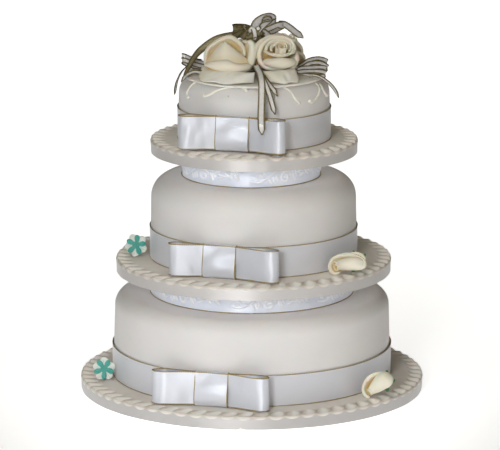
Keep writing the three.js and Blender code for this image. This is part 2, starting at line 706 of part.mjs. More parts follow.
function levelGroup(level) {
  const { name, tierRadius, sides, boardRadius, crimps } = level;
  const group = new THREE.Group();
  group.add(mesh(`board_${name}`, boardGeometry(level), boardIcing));
  const trim = ring(boardRadius - RIBBON_THICKNESS, boardRadius, GAP, BOARD_EDGE, crimps);
  group.add(mesh(`board_ribbon_${name}`, trim, satin));

  const upper = new THREE.Group();
  upper.position.z = BOARD_HEIGHT + GAP;
  const plain = tierGeometry(level);
  const piped = () => joined([plain, ...pipingGeometries(level)], PIPING_TOLERANCE);
  upper.add(mesh(`tier_${name}`, name === 'top' ? piped() : plain, icing));
  const inner = tierRadius + GAP;
  const band = ring(inner, inner + RIBBON_THICKNESS, GAP, GAP + BAND_WIDTH, sides);
  upper.add(mesh(`ribbon_band_${name}`, band, satin));
  upper.add(bow(level));
  if (name in BLOSSOMS) {
    upper.add(blossom(level, ...BLOSSOMS[name]));
    upper.add(rosebud(level, ...ROSEBUDS[name]));
  }
  group.add(upper);
  return group;
}

function separator({ name, radius, height, offset }, sides) {
  const profile = [[0, 0], [radius, 0], [radius, height], [0, height]];
  const piece = mesh(`separator_${name}`, turned(profile, sides), pearlBand);
  piece.position.x = offset;
  return piece;
}

const cake = new THREE.Group();
let height = 0;
LEVELS.forEach((level, k) => {
  const group = levelGroup(level);
  group.position.set(level.offset, 0, height);
  cake.add(group);
  height += BOARD_HEIGHT + GAP + level.tierHeight + GAP;
  if (k < SEPARATORS.length) {
    const piece = separator(SEPARATORS[k], level.sides);
    piece.position.z = height;
    cake.add(piece);
    height += SEPARATORS[k].height + GAP;
  }
});

const topper = new THREE.Group();
topper.position.set(LEVELS.at(-1).offset, 0, height);
const rim = PLAQUE_THICKNESS / 2;
const plaqueProfile = [
  [0, 0], [PLAQUE_RADIUS - rim, 0], [PLAQUE_RADIUS, rim],
  [PLAQUE_RADIUS - rim, PLAQUE_THICKNESS], [0, PLAQUE_THICKNESS],
];
topper.add(mesh('plaque', turned(plaqueProfile, PLAQUE_SIDES), whiteSugar));
const flowers = spray();
flowers.position.z = PLAQUE_THICKNESS;
topper.add(flowers);
cake.add(topper);

export default cake;
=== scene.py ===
"""Looks for a three-tier iced wedding cake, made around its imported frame.

Sizes are in millimetres until a mesh is made. +Z is up and the front faces -Y.
An azimuth is in degrees round the cake, 0 at the front and growing towards +X.
"""

import math

import bmesh
import bpy
import numpy as np
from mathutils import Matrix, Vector


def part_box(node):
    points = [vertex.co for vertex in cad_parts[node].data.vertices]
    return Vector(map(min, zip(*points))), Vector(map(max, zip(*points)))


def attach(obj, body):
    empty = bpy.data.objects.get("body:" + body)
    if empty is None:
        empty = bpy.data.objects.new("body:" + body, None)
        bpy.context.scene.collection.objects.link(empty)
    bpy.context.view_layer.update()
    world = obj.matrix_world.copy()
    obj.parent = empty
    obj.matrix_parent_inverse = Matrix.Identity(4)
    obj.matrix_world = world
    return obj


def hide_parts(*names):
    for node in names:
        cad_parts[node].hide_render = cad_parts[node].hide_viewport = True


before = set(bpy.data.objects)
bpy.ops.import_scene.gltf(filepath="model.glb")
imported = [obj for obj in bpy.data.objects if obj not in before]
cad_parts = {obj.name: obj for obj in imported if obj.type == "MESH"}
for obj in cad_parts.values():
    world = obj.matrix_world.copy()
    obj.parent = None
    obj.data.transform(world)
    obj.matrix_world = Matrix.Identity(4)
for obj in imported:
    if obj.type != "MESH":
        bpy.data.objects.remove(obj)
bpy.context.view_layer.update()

# ---------------------------------------------------------------- iced boards
# Drum boards of pressed card covered with rolled icing. The soft rim was pressed
# with a spoon-shaped tool: each dent leans a little and pushes the icing down
# over the edge, and the ridges between the dents stay up.

MM = 0.001
BOARD_HEIGHT = 16.0
BOARD_EDGE = 13.0
# middle is how far the board stands to the right of the cake's axis, and tier is the
# radius of the tier on it
BOARDS = {
    "bottom": {"middle": 0.0, "radius": 190.5, "dents": 68, "tier": 154.6},
    "middle": {"middle": 2.0, "radius": 152.4, "dents": 54, "tier": 114.6},
    "top": {"middle": 2.6, "radius": 114.3, "dents": 45, "tier": 84.2},
}
# the soft lip over the trim: how far beyond the board's radius, its height, and how
# far each point follows the icing that a dent pushes down
LIP = [
    (-0.2, 13.0, 1), (0.25, 13.4, 1), (0.2, 14.2, 1),
    (-0.2, 15.0, 0.85), (-0.9, 15.6, 0.7), (-2, 15.9, 0.45),
]
# the card under the icing: how far inside the board's radius its side stands, and how
# far in and up its lower corner is bevelled
CARD_INSET = 0.9
CARD_CORNER = (3, 0.3)
ROW_STEP = 0.8
DENT_COLUMNS = 14
DENT_LENGTH = 15.5
DENT_DEPTH = 3.6
DENT_LEAN = 20.0
# a dent's width is a share of the room it has, and the powers shape how it narrows,
# how round its inner end is and how it grows shallower
DENT_WIDTH = 0.94
DENT_NARROWS = 2.4
DENT_END = 0.55
DENT_FADES = 3
RIDGE_RISE = 0.7
RIDGE_AT = 4.5
RIDGE_SHARPNESS = 5
# a dent pushes the lip down and outward, and the ridges beside it draw back
LIP_DROP = 2.0
LIP_BULGE = 0.25
LIP_WAIST = 0.35
UNEVEN = 0.16

dice = np.random.default_rng(12)


def polar(azimuth, radius, height):
    """The points at an azimuth, a distance from the axis and a height."""
    angle = np.radians(azimuth)
    return np.stack(np.broadcast_arrays(radius * np.sin(angle), -radius * np.cos(angle), height), -1)


def held(value, low=0):
    """A value kept between a low limit and 1."""
    return np.clip(value, low, 1)


def grid(points, around=False, material=0, cloth=None):
    """Part of a piece: a grid of points [row][column] with a face in each cell, and the
    number of its material. cloth holds two marks for each point, for the materials."""
    rows, columns = points.shape[:2]
    number = np.arange(rows * columns).reshape(rows, columns)
    if around:
        number = np.hstack([number, number[:, :1]])
    faces = np.stack([number[:-1, :-1], number[:-1, 1:], number[1:, 1:], number[1:, :-1]], -1)
    flat = points.reshape(-1, 3)
    marks = np.zeros((len(flat), 2)) if cloth is None else cloth.reshape(-1, 2)
    return {"points": flat, "faces": faces.reshape(-1, 4).tolist(), "material": material, "cloth": marks}


def piece(name, parts, finishes, nodes=(), at=(0.0, 0.0, 0.0), crease=50):
    """One object made of parts. It rides on the cake and stands for CAD nodes."""
    starts = np.cumsum([0] + [len(part["points"]) for part in parts])
    points = (np.concatenate([part["points"] for part in parts]) + np.array(at)) * MM
    faces = [
        [start + corner for corner in face]
        for part, start in zip(parts, starts.tolist())
        for face in part["faces"]
    ]
    mesh = bpy.data.meshes.new(name)
    mesh.from_pydata(points.tolist(), [], faces)
    number = np.concatenate([np.full(len(part["faces"]), part["material"]) for part in parts])
    mesh.polygons.foreach_set("material_index", number.astype(np.int32))
    corners = np.zeros(len(mesh.loops), np.int32)
    mesh.loops.foreach_get("vertex_index", corners)
    marks = np.concatenate([part["cloth"] for part in parts])[corners]
    mesh.uv_layers.new(name="cloth").data.foreach_set("uv", marks.astype(np.float32).ravel())
    shape = bmesh.new()
    shape.from_mesh(mesh)
    bmesh.ops.remove_doubles(shape, verts=shape.verts, dist=1e-7)
    bmesh.ops.recalc_face_normals(shape, faces=shape.faces)
    shape.to_mesh(mesh)
    shape.free()
    mesh.shade_smooth()
    mesh.set_sharp_from_angle(angle=math.radians(crease))
    for look in finishes:
        mesh.materials.append(look)
    made = bpy.data.objects.new(name, mesh)
    bpy.context.scene.collection.objects.link(made)
    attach(made, "root")
    if nodes:
        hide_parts(*nodes)


def board_part(radius, dents, tier):
    """The board's skin, from the middle of its underside over the rim to the top."""
    azimuth = np.arange(dents * DENT_COLUMNS) * 360 / (dents * DENT_COLUMNS)
    body = radius - CARD_INSET
    corner_in, corner_up = CARD_CORNER
    under = [(0, 0), (body - corner_in, 0), (body, corner_up), (body, BOARD_EDGE - 1)]
    lip = [(radius + beyond, height) for beyond, height, _ in LIP]
    top = [(radius - inward, BOARD_HEIGHT) for inward in np.arange(3, DENT_LENGTH + 1.5, ROW_STEP)]
    inner = [(tier + 2, BOARD_HEIGHT), (tier - 3, BOARD_HEIGHT), (0, BOARD_HEIGHT)]
    profile = np.array(under + lip + top + inner, float)
    reach, level = profile[:, :1], profile[:, 1:]
    pressed = np.ones_like(reach)
    pressed[: len(under)] = 0
    hanging = np.zeros_like(reach)
    hanging[len(under):len(under) + len(lip), 0] = [follows for *_, follows in LIP]
    inward = np.clip(radius - reach, 0, None)
    lean = np.degrees(np.tan(np.radians(DENT_LEAN)) * inward / radius)
    turn = (azimuth[None, :] - lean) * dents / 360
    number = np.floor(turn).astype(int) % dents
    own = 1 + UNEVEN * dice.uniform(-1, 1, dents)
    share = held(inward / DENT_LENGTH)
    width = DENT_WIDTH * held(1 - share ** DENT_NARROWS, 1e-4) ** DENT_END
    across = np.abs(2 * (turn % 1) - 1)
    bowl = held(1 - (across / width) ** 2) * pressed * own[number]
    ridge = (across ** RIDGE_SHARPNESS) * np.exp(-(((inward - RIDGE_AT) / RIDGE_AT) ** 2)) * pressed
    deep = DENT_DEPTH * held(1 - share ** DENT_FADES)
    height = level - bowl * np.maximum(deep * (1 - hanging), LIP_DROP * hanging) + RIDGE_RISE * ridge
    out = reach + hanging * (LIP_BULGE * bowl - LIP_WAIST * across ** 2)
    pressed_in = bowl * held(inward / 3, 0.3)
    crest = pressed * held(2.2 * (1 - share)) + 0 * bowl
    return grid(polar(azimuth[None, :], out, height), around=True, cloth=np.stack([pressed_in, crest], -1))


class Tone:
    """What varies over a surface: one output of a material's nodes. Arithmetic on
    it adds Math nodes, and node() adds a node of any kind."""

    def __init__(self, tree, output):
        self.tree = tree
        self.output = output

    def node(self, kind, settings=None, inputs=None, output=0):
        made = self.tree.nodes.new(kind)
        for name, value in (settings or {}).items():
            setattr(made, name, value)
        for name, value in (inputs or {}).items():
            if isinstance(value, Tone):
                self.tree.links.new(value.output, made.inputs[name])
            else:
                made.inputs[name].default_value = value
        return Tone(self.tree, made.outputs[output])

    def math(self, operation, *values):
        return self.node("ShaderNodeMath", {"operation": operation}, dict(enumerate(values)))

    def __add__(self, other):
        return self.math("ADD", self, other)

    def __sub__(self, other):
        return self.math("SUBTRACT", self, other)

    def __mul__(self, other):
        return self.math("MULTIPLY", self, other)

    def __radd__(self, other):
        return self.math("ADD", other, self)

    def __rsub__(self, other):
        return self.math("SUBTRACT", other, self)

    def __rmul__(self, other):
        return self.math("MULTIPLY", other, self)


def seen(red, green, blue):
    """A colour as it looks on a screen, 0 to 255, for a shader."""
    return tuple(((v / 255 + 0.055) / 1.055) ** 2.4 for v in (red, green, blue)) + (1.0,)


def finish(name, constants, varying):
    """A material. varying(place) gives what changes over the surface, where place
    is the point on the object."""
    made = bpy.data.materials.new(name)
    made.use_nodes = True
    shader = made.node_tree.nodes["Principled BSDF"]
    for socket, value in constants.items():
        shader.inputs[socket].default_value = value
    start = Tone(made.node_tree, None)
    for socket, tone in varying(start.node("ShaderNodeTexCoord", output="Object")).items():
        made.node_tree.links.new(tone.output, shader.inputs[socket])
    return made


def noise(place, scale, detail=2.0, roughness=0.5):
    """Cloudy grain from 0 to 1, with a scale in grains per metre."""
    inputs = {"Vector": place, "Scale": scale, "Detail": detail, "Roughness": roughness}
    return place.node("ShaderNodeTexNoise", None, inputs)


def tinted(mask, low, high):
    """A colour between two, by a mask."""
    return mask.node("ShaderNodeMix", {"data_type": "RGBA"}, {0: mask, 6: low, 7: high}, output=2)


def spread(tone, low, high, to_low=0.0, to_high=1.0):
    """A value moved from one range to another, and held inside it."""
    ranges = {"From Min": low, "From Max": high, "To Min": to_low, "To Max": to_high}
    return tone.node("ShaderNodeMapRange", None, {"Value": tone, **ranges})


def clouded(cloud, low, high):
    """A colour that drifts softly between two."""
    return tinted(spread(cloud, 0.35, 0.65), low, high)


def rough(grain, low, high):
    """A roughness between two, by the middle of a grain's range."""
    return spread(grain, 0.3, 0.7, low, high)


def bumped(height, strength, distance):
    """A normal from a height, with its full rise in metres."""
    rise = {"Height": height, "Strength": strength, "Distance": distance}
    return height.node("ShaderNodeBump", None, rise)


def cloth_of(place):
    """The marks of the piece's mesh, as a vector."""
    return place.node("ShaderNodeUVMap", {"uv_map": "cloth"})


def axis(vector, number):
    """The first (0) or second (1) number of a vector."""
    return vector.node("ShaderNodeSeparateXYZ", None, {0: vector}, output=number)


def board_icing_varies(place):
    cloud, grain, cloth = noise(place, 26, 4), noise(place, 900, 3, 0.6), cloth_of(place)
    dent, crest = axis(cloth, 0), axis(cloth, 1)
    flat = clouded(cloud, seen(233, 226, 218), seen(242, 236, 229))
    # the dents' floors are painted lighter: a painted highlight where they catch the light
    clean_and_lit = tinted(spread(dent, 0.3, 0.85, 0, 0.85), flat, seen(246, 243, 238))
    # the ridge flanks near the rim are painted darker brown: painted shade between the dents
    painted_ridge_shade = spread(dent, 0.02, 0.3, 1, 0) * crest * 0.55
    return {
        "Base Color": tinted(painted_ridge_shade, clean_and_lit, seen(170, 158, 138)),
        "Roughness": rough(grain, 0.55, 0.72),
        "Normal": bumped(cloud * 0.6 + grain * 0.25, 0.35, 0.0006),
    }


ICING_GLOW = {"Subsurface Weight": 0.06, "Subsurface Scale": 0.003}
board_icing = finish("board_icing", ICING_GLOW, board_icing_varies)

for name, board in BOARDS.items():
    board["foot"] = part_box(f"board_{name}")[0].z / MM
    board["at"] = (board["middle"], 0, board["foot"])
    part = board_part(board["radius"], board["dents"], board["tier"])
    piece(f"iced_board_{name}", [part], [board_icing], [f"board_{name}"], at=board["at"])

# ----------------------------------------------------------------- board trim
# Pearly satin ribbon glued round the edge of each board, with its ends lapped at
# the back. On the bottom board its lower edge has come away a little at the front.

TRIM_THICKNESS = 0.35
TRIM_FOOT = 0.3
# the lap: its length, its lift in thicknesses of the ribbon, and the degrees over which
# the ribbon rises onto it
RIBBON_LAP = 12.0
LAP_LIFT = 1.2
LAP_RISE = 2
NICK = {"azimuth": -3.6, "half": 4.2, "rise": 2.2}
RIBBON_GAP = 0.15
RIBBON_SWELL = 0.05
RIBBON_ROWS = 9


def capped(part, corners):
    """The part with both its open ends closed, each a ring of so many corners."""
    last = len(part["points"]) - corners
    part["faces"] += [list(range(corners)), list(range(last, last + corners))]
    return part


def hoop(radius, low, high, thickness, step=2.0, nick=None, seed=0):
    """A ribbon laid round a drum, lapped over its own start at the back."""
    start = 180 + np.degrees(RIBBON_LAP / radius) / 2
    turn = 360 + np.degrees(RIBBON_LAP / radius)
    azimuth = start + np.linspace(0, turn, int(turn * math.pi / 180 * radius / step))
    along = np.radians(azimuth - start) * radius
    lifted = LAP_LIFT * thickness * held((azimuth - start - 360 + LAP_RISE) / LAP_RISE)
    own = np.random.default_rng(seed)
    swell = sum(
        RIBBON_SWELL * np.sin(np.radians(azimuth) * own.integers(5, 40) + own.uniform(0, 6.3))
        for _ in range(6)
    )
    level = np.repeat(np.linspace(low, high, RIBBON_ROWS)[:, None], len(azimuth), 1)
    if nick:
        near = ((azimuth + 180) % 360 - 180 - nick["azimuth"]) * math.pi / 180 * radius
        share = (high - level) / (high - low)
        level = level + nick["rise"] * held(1 - np.abs(near) / nick["half"]) * share ** 3
    out = radius + lifted + swell
    outer = polar(azimuth[None, :], out[None, :] + thickness, level)
    inner = polar(azimuth[None, :], out[None, :], level)
    points = np.concatenate([inner, outer[::-1]]).transpose(1, 0, 2)
    across = np.concatenate([level, level[::-1]]).T
    cloth = np.stack([np.repeat(along[:, None], 2 * RIBBON_ROWS, 1), across], -1)
    return capped(grid(points, around=True, cloth=cloth), 2 * RIBBON_ROWS)


def streaks(cloth, along, across, detail):
    """Fine threads in a cloth, by how often they change along and across its marks."""
    drawn_out = cloth.node("ShaderNodeMapping", None, {"Vector": cloth, "Scale": (along, across, 1)})
    return noise(drawn_out, 1.0, detail)


def satin_ribbon(name, low, high, metallic, sheen=0.1, turn=0.25):
    """Satin between two colours. A turn of a quarter lays its shine across its length."""

    def varies(place):
        cloth = cloth_of(place)
        threads, cross = streaks(cloth, 0.12, 9, 3), streaks(cloth, 6, 0.4, 2)
        return {
            "Base Color": tinted(threads, low, high),
            "Roughness": spread(cross * 0.5 + noise(place, 30, 2) * 0.5, 0.35, 0.65, 0.4, 0.5),
            "Normal": bumped(threads * 0.7 + cross * 0.5, 0.3, 0.00025),
        }

    return finish(name, {"Sheen Weight": sheen, "Specular IOR Level": 0.9, "Metallic": metallic,
                         "Anisotropic": 0.85, "Anisotropic Rotation": turn}, varies)


trim_satin = satin_ribbon("trim_satin", seen(208, 204, 202), seen(228, 224, 223), 0.35)
# the lowest board's ribbon is painted darker than the others: painted shade, against the light the glowing
# table throws on it
shaded_trim = satin_ribbon("shaded_trim_satin", seen(186, 183, 182), seen(206, 203, 202), 0.35)

for name, board in BOARDS.items():
    inner = board["radius"] - TRIM_THICKNESS - RIBBON_GAP
    lowest = name == "bottom"
    part = hoop(inner, TRIM_FOOT, BOARD_EDGE, TRIM_THICKNESS, seed=board["dents"],
                nick=NICK if lowest else None, step=1.0 if lowest else 2.0)
    piece(f"trim_{name}", [part], [shaded_trim if lowest else trim_satin],
          [f"board_ribbon_{name}"], at=board["at"])

# ---------------------------------------------------------------------- tiers
# Fruit cakes covered with marzipan and a sheet of white fondant, smoothed by hand
# over a rounded shoulder. The surface keeps a faint swell from the smoother.

TIERS = {
    "bottom": {"height": 92.6, "taper": 2.0, "shoulder": 15.0},
    "middle": {"height": 91.3, "taper": 1.0, "shoulder": 24.0},
    "top": {"height": 67.6, "taper": 1.0, "shoulder": 18.0},
}
TIER_SWELL = 0.22


def tier_side(tier):
    """[radius, height] down the tier's side, from its foot to its flat top."""
    wall, shoulder = tier["radius"] - tier["taper"], tier["shoulder"]
    bend = tier["height"] - shoulder
    straight = [[tier["radius"] - tier["taper"] * share, bend * share] for share in np.linspace(0, 1, 14)]
    arc = np.radians(np.linspace(5, 90, 14))
    rounded = np.stack([wall - shoulder * (1 - np.cos(arc)), bend + shoulder * np.sin(arc)], -1)
    return np.concatenate([straight, rounded])


def tier_part(tier, seed):
    """The icing's skin, from the middle of its underside over the side to the top."""
    side = tier_side(tier)
    flat = [[side[-1, 0] * share, tier["height"]] for share in (0.97, 0.9, 0.8, 0.6, 0.3, 0)]
    profile = np.concatenate([[[0, 0], [tier["radius"] - 1, 0]], side, flat])
    azimuth = np.arange(0, 360, 1.5)
    own = np.random.default_rng(seed)
    swell = sum(
        own.uniform(0.3, 1)
        * np.sin(np.radians(azimuth)[None, :] * own.integers(2, 9)
                 + profile[:, 1:] * own.uniform(-0.05, 0.05) + own.uniform(0, 6.3))
        for _ in range(5)
    )
    share = held(profile[:, :1] / tier["radius"]) ** 4
    radius = profile[:, :1] - TIER_SWELL * (1 + swell / 3) * share
    return grid(polar(azimuth[None, :], radius, profile[:, 1:]), around=True)


def fondant_varies(place):
    cloud, ripple, pits = noise(place, 9, 3), noise(place, 60, 3), noise(place, 1400, 2, 0.6)
    return {
        "Base Color": tinted(spread(cloud, 0.3, 0.7), seen(226, 223, 222), seen(234, 231, 230)),
        "Roughness": rough(ripple, 0.46, 0.58),
        "Normal": bumped(ripple * 0.7 + pits * 0.12, 0.25, 0.0006),
    }


fondant = finish("fondant", {"Subsurface Weight": 0.1, "Subsurface Scale": 0.004}, fondant_varies)

for seed, (name, tier) in enumerate(TIERS.items()):
    tier["radius"] = BOARDS[name]["tier"]
    tier["at"] = (BOARDS[name]["middle"], 0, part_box(f"tier_{name}")[0].z / MM)
    piece(f"iced_tier_{name}", [tier_part(tier, seed)], [fondant], [f"tier_{name}"], at=tier["at"])

# -------------------------------------------------------------- ribbon round a tier
# Satin ribbon with a fine gold thread in each edge, wrapped round the foot of each
# tier and lapped at the back.

BAND_WIDTH = 34.0
BAND_FOOT = 0.4
BAND_THICKNESS = 0.4
THREAD_RADIUS = 0.46
THREAD_PITCH = 4.0
THREAD_LOBE = 0.28
THREAD_SIDES = 6


def unit(vectors):
    """The vectors, each made 1 long."""
    return vectors / np.maximum(np.linalg.norm(vectors, axis=-1, keepdims=True), 1e-9)


def along_route(route):
    """The direction at each point of a route and the length up to it."""
    lengths = np.linalg.norm(np.diff(route, axis=0), axis=1)
    return unit(np.gradient(route, axis=0)), np.concatenate([[0], np.cumsum(lengths)])


def tube(route, radii, sides, material=0):
    """A round tube along a route. Each point has one radius, or one for each side."""
    direction, length = along_route(route)
    helper = np.where(np.abs(direction[:, 2:]) > 0.9, [[1.0, 0, 0]], [[0, 0, 1.0]])
    side = unit(np.cross(direction, helper))
    lift = np.cross(side, direction)
    angle = np.linspace(0, 2 * math.pi, sides, endpoint=False)[None, :]
    points = (
        route[:, None]
        + (radii * np.cos(angle))[..., None] * side[:, None]
        + (radii * np.sin(angle))[..., None] * lift[:, None]
    )
    cloth = np.stack([np.repeat(length[:, None], sides, 1), np.repeat(angle, len(route), 0)], -1)
    return grid(points, around=True, material=material, cloth=cloth)


def thread(route, radius=THREAD_RADIUS):
    """A two-strand twisted thread along a route, given at about 1 mm a step."""
    angle = np.linspace(0, 2 * math.pi, THREAD_SIDES, endpoint=False)[None, :]
    twist = 2 * math.pi * along_route(route)[1][:, None] / THREAD_PITCH
    lobed = radius * (1 + THREAD_LOBE * np.cos(2 * (angle - twist)))
    return capped(tube(route, lobed, THREAD_SIDES, material=1), THREAD_SIDES)


def gold_thread_varies(place):
    strands = axis(cloth_of(place), 0) * (2 * math.pi / (THREAD_PITCH / 2))
    glint = spread(strands.math("SINE", strands) + noise(place, 500, 1) * 1.6, 0.9, 2.2)
    return {
        "Base Color": tinted(glint, seen(148, 124, 70), seen(234, 218, 174)),
        "Roughness": spread(glint, 0, 1, 0.6, 0.35),
        "Metallic": glint * 0.25,
    }


band_satin = satin_ribbon("band_satin", seen(219, 220, 227), seen(233, 234, 241), 0.18, sheen=0.15)
gold_thread = finish("gold_thread", {}, gold_thread_varies)

for seed, (name, tier) in enumerate(TIERS.items()):
    inner = tier["radius"] + RIBBON_GAP
    low, high = BAND_FOOT, BAND_FOOT + BAND_WIDTH
    parts = [hoop(inner, low, high, BAND_THICKNESS, seed=seed)]
    turn = np.arange(0, 360, np.degrees(1 / inner))
    for height in (low, high):
        parts.append(thread(polar(180 + turn, inner + BAND_THICKNESS / 2 + 0.1, height)))
    piece(f"band_{name}", parts, [band_satin, gold_thread],
          [f"ribbon_band_{name}"], at=tier["at"])

# ----------------------------------------------------------------------- bows
# Flat satin bows with gold thread in both edges, pinned to the front of each ribbon.
# Two loops are folded from one length and a second length is wrapped over their
# middle.

# reach is how far the left and the right loop stand out from the bow's middle
BOWS = {
    "bottom": {"azimuth": -15.8, "reach": (66, 65), "width": 36.0, "lift": 0.3},
    "middle": {"azimuth": -18.0, "reach": (57, 68), "width": 34.5, "lift": 0.3},
    "top": {"azimuth": -15.4, "reach": (60, 60), "width": 36.0, "lift": 1.3},
}
BOW_STANDOFF = 0.9
# half of the loops from above: along the tier's side and outward from it
LOOP_FRONT = [[0, 4.2], [18.5, 4.6], [30, 7.0], [42, 10.4], [54, 13.0]]
LOOP_END = [[61, 12.0], [65, 7], [61.5, 1.8]]
LOOP_BACK = [[52, -1.2], [40, 0], [28, 1.3], [18.5, 1.8], [0, 1.6]]
LOOP_REACH = 65.0
WRAP_HALF = 18.5
WRAP_FOOT = 0.3
WRAP_SPARE = 1.2
# how far out the wrap goes, and at what share of its height
WRAP_OUTLINE = [
    [0.6, 0], [3, 0], [5.4, 0], [7.4, 0.04], [8.8, 0.13], [9.0, 0.24], [8.4, 0.38], [7.1, 0.52],
    [5.8, 0.66], [5.0, 0.8], [4.6, 0.92], [4.2, 0.99], [3, 1], [0.6, 1], [0.6, 0.66], [0.6, 0.33],
]
SATIN_THICKNESS = 0.45
CRUMPLE = 0.35
WRAP_CRUMPLE = 0.2
EDGE_THREAD = 0.6


def sampled(line, at, wanted):
    """The points of a line at the wanted places, where at is the place of each point."""
    return np.stack([np.interp(wanted, at, part) for part in line.T], -1)


def smooth(points, step, closed=False):
    """A smooth line through points (a centripetal Catmull-Rom), in even steps."""
    p = np.array(points, float)
    before, after = (p[-1], p[:2]) if closed else (2 * p[0] - p[1], 2 * p[-1] - p[-2])
    p = np.vstack([before, p, after])
    line = []
    for a, b, c, d in zip(p, p[1:], p[2:], p[3:]):
        t1 = np.sqrt(np.linalg.norm(b - a))
        t2 = t1 + np.sqrt(np.linalg.norm(c - b))
        t3 = t2 + np.sqrt(np.linalg.norm(d - c))
        t = np.linspace(t1, t2, 40, endpoint=False)[:, None]
        ab = a + (b - a) * t / t1
        bc = b + (c - b) * (t - t1) / (t2 - t1)
        cd = c + (d - c) * (t - t2) / (t3 - t2)
        abc, bcd = ab + (bc - ab) * t / t2, bc + (cd - bc) * (t - t1) / (t3 - t1)
        line.append(abc + (bcd - abc) * (t - t1) / (t2 - t1))
    line = np.vstack([*line, p[1] if closed else p[-2]])
    length = np.concatenate([[0], np.cumsum(np.linalg.norm(np.diff(line, axis=0), axis=1))])
    count = max(3, int(round(length[-1] / step)) + 1)
    return sampled(line, length, np.linspace(0, length[-1], count))


def waves(along, across, seed, longest=40.0, shortest=7.0):
    """Soft uneven waves over a cloth, about -1 to 1."""
    own = np.random.default_rng(seed)
    total = np.zeros(np.broadcast(along, across).shape)
    for _ in range(7):
        length = own.uniform(shortest, longest)
        turn = own.uniform(-0.9, 0.9)
        total += np.sin((along * math.cos(turn) + across * math.sin(turn)) * 2 * math.pi / length
                        + own.uniform(0, 6.3)) * length / longest
    return total / 2


def strip(route, across, width, thickness, columns=11, ripple=0.0, seed=0, wire=THREAD_RADIUS):
    """A ribbon along a route of 1 mm steps, with its width along across, as parts:
    the cloth, and a thread or wire in each edge."""
    direction, length = along_route(route)
    side = unit(across - (across * direction).sum(1, keepdims=True) * direction)
    normal = np.cross(direction, side)
    off = np.linspace(-0.5, 0.5, columns)[None, :] * np.broadcast_to(width, (len(route), 1))
    shift = ripple * waves(length[:, None], off, seed)
    middle = route[:, None] + off[..., None] * side[:, None] + shift[..., None] * normal[:, None]
    half = thickness / 2 * normal[:, None]
    points = np.concatenate([middle - half, (middle + half)[:, ::-1]], 1)
    along = np.repeat(length[:, None], 2 * columns, 1)
    part = grid(points, around=True, cloth=np.stack([along, np.concatenate([off, off[:, ::-1]], 1)], -1))
    if np.linalg.norm(route[0] - route[-1]) > 0.01:
        capped(part, 2 * columns)
    return [part, thread(middle[:, 0], wire), thread(middle[:, -1], wire)]


def stretched(reach):
    """The outline of one loop from above, pulled longer or shorter."""
    outline = []
    for along, out in [*LOOP_FRONT, *LOOP_END, *LOOP_BACK]:
        beyond = max(0.0, along - WRAP_HALF)
        longer = beyond * (reach - WRAP_HALF) / (LOOP_REACH - WRAP_HALF)
        outline.append([along - beyond + longer, out])
    return outline


def on_tier(azimuth, radius, flat):
    """Points [along, outward, height] on a tier's side, as points on the cake."""
    angle = math.radians(azimuth)
    reach = radius + flat[..., 1]
    x = reach * math.sin(angle) + flat[..., 0] * math.cos(angle)
    y = -reach * math.cos(angle) + flat[..., 0] * math.sin(angle)
    return np.stack([x, y, flat[..., 2]], -1)


BOW_COLOURS = seen(214, 217, 226), seen(231, 233, 241)
satin = satin_ribbon("satin", *BOW_COLOURS, 0.32)
# the wrap's threads run up and down, so its shine lies across
wrap_satin = satin_ribbon("wrap_satin", *BOW_COLOURS, 0.35, turn=0)

for seed, (name, bow) in enumerate(BOWS.items()):
    tier = TIERS[name]
    left, right = (stretched(reach) for reach in bow["reach"])
    ring = smooth([*right, *[[-along, out] for along, out in left[::-1][1:-1]]], 1.0, closed=True)
    middle = bow["lift"] + BOW_STANDOFF + bow["width"] / 2
    flat = np.column_stack([ring, np.full(len(ring), middle)])
    base = tier["radius"] + BOW_STANDOFF
    route = on_tier(bow["azimuth"], base, flat)
    upright = np.tile([0.0, 0.0, 1.0], (len(route), 1))
    loops = strip(route, upright, bow["width"], SATIN_THICKNESS, columns=13, ripple=CRUMPLE, seed=seed,
                  wire=EDGE_THREAD)
    piece(f"bow_{name}", loops, [satin, gold_thread], [f"bow_loops_{name}"], at=tier["at"])

    low, height = bow["lift"] + WRAP_FOOT, bow["width"] + WRAP_SPARE
    outline = smooth([[out, low + share * height] for out, share in WRAP_OUTLINE], 1.0, closed=True)
    flat = np.column_stack([np.zeros(len(outline)), outline])
    route = on_tier(bow["azimuth"], base, flat)
    angle = math.radians(bow["azimuth"])
    sideways = np.tile([math.cos(angle), math.sin(angle), 0.0], (len(route), 1))
    wrap = strip(route, sideways, 2 * WRAP_HALF, SATIN_THICKNESS, columns=21, ripple=WRAP_CRUMPLE,
                 seed=seed + 7, wire=EDGE_THREAD)
    piece(f"bow_wrap_{name}", wrap, [wrap_satin, gold_thread], [f"bow_wrap_{name}"],
          at=tier["at"])

# ----------------------------------------------------------------- separators
# Polystyrene dummies that carry the two upper boards, wrapped in pearly embossed
# paper. The relief repeats a scroll with leaves on both sides of it, and a fine gold
# cord hides the cut edge of the paper at its foot.

SEPARATORS = {
    "lower": {"radius": 113.6, "middle": 0.0, "repeats": 7, "first": 10.0},
    "upper": {"radius": 77.4, "middle": -0.7, "repeats": 5, "first": -42.6},
}
RELIEF = 1.3
RELIEF_STEP = 0.75
END_INSET = 2
CORD_RADIUS = 0.5
# a scroll winds in by a share of its radius, from an angle in radians
COIL_WINDS_IN = 0.85
COIL_START = 0.4
# the pattern in its own millimetres along and up, and half the width of its lines
REPEAT_LENGTH = 96.0
SCROLL = {"turns": 1.3, "radius": 7.0, "height": 10.0}
SMALL_SCROLL = {"turns": 1.0, "radius": 4.6, "along": 40.0, "height": 15.0}
SCROLL_HALF, SMALL_HALF, STEM_HALF = 1.45, 1.0, 0.75
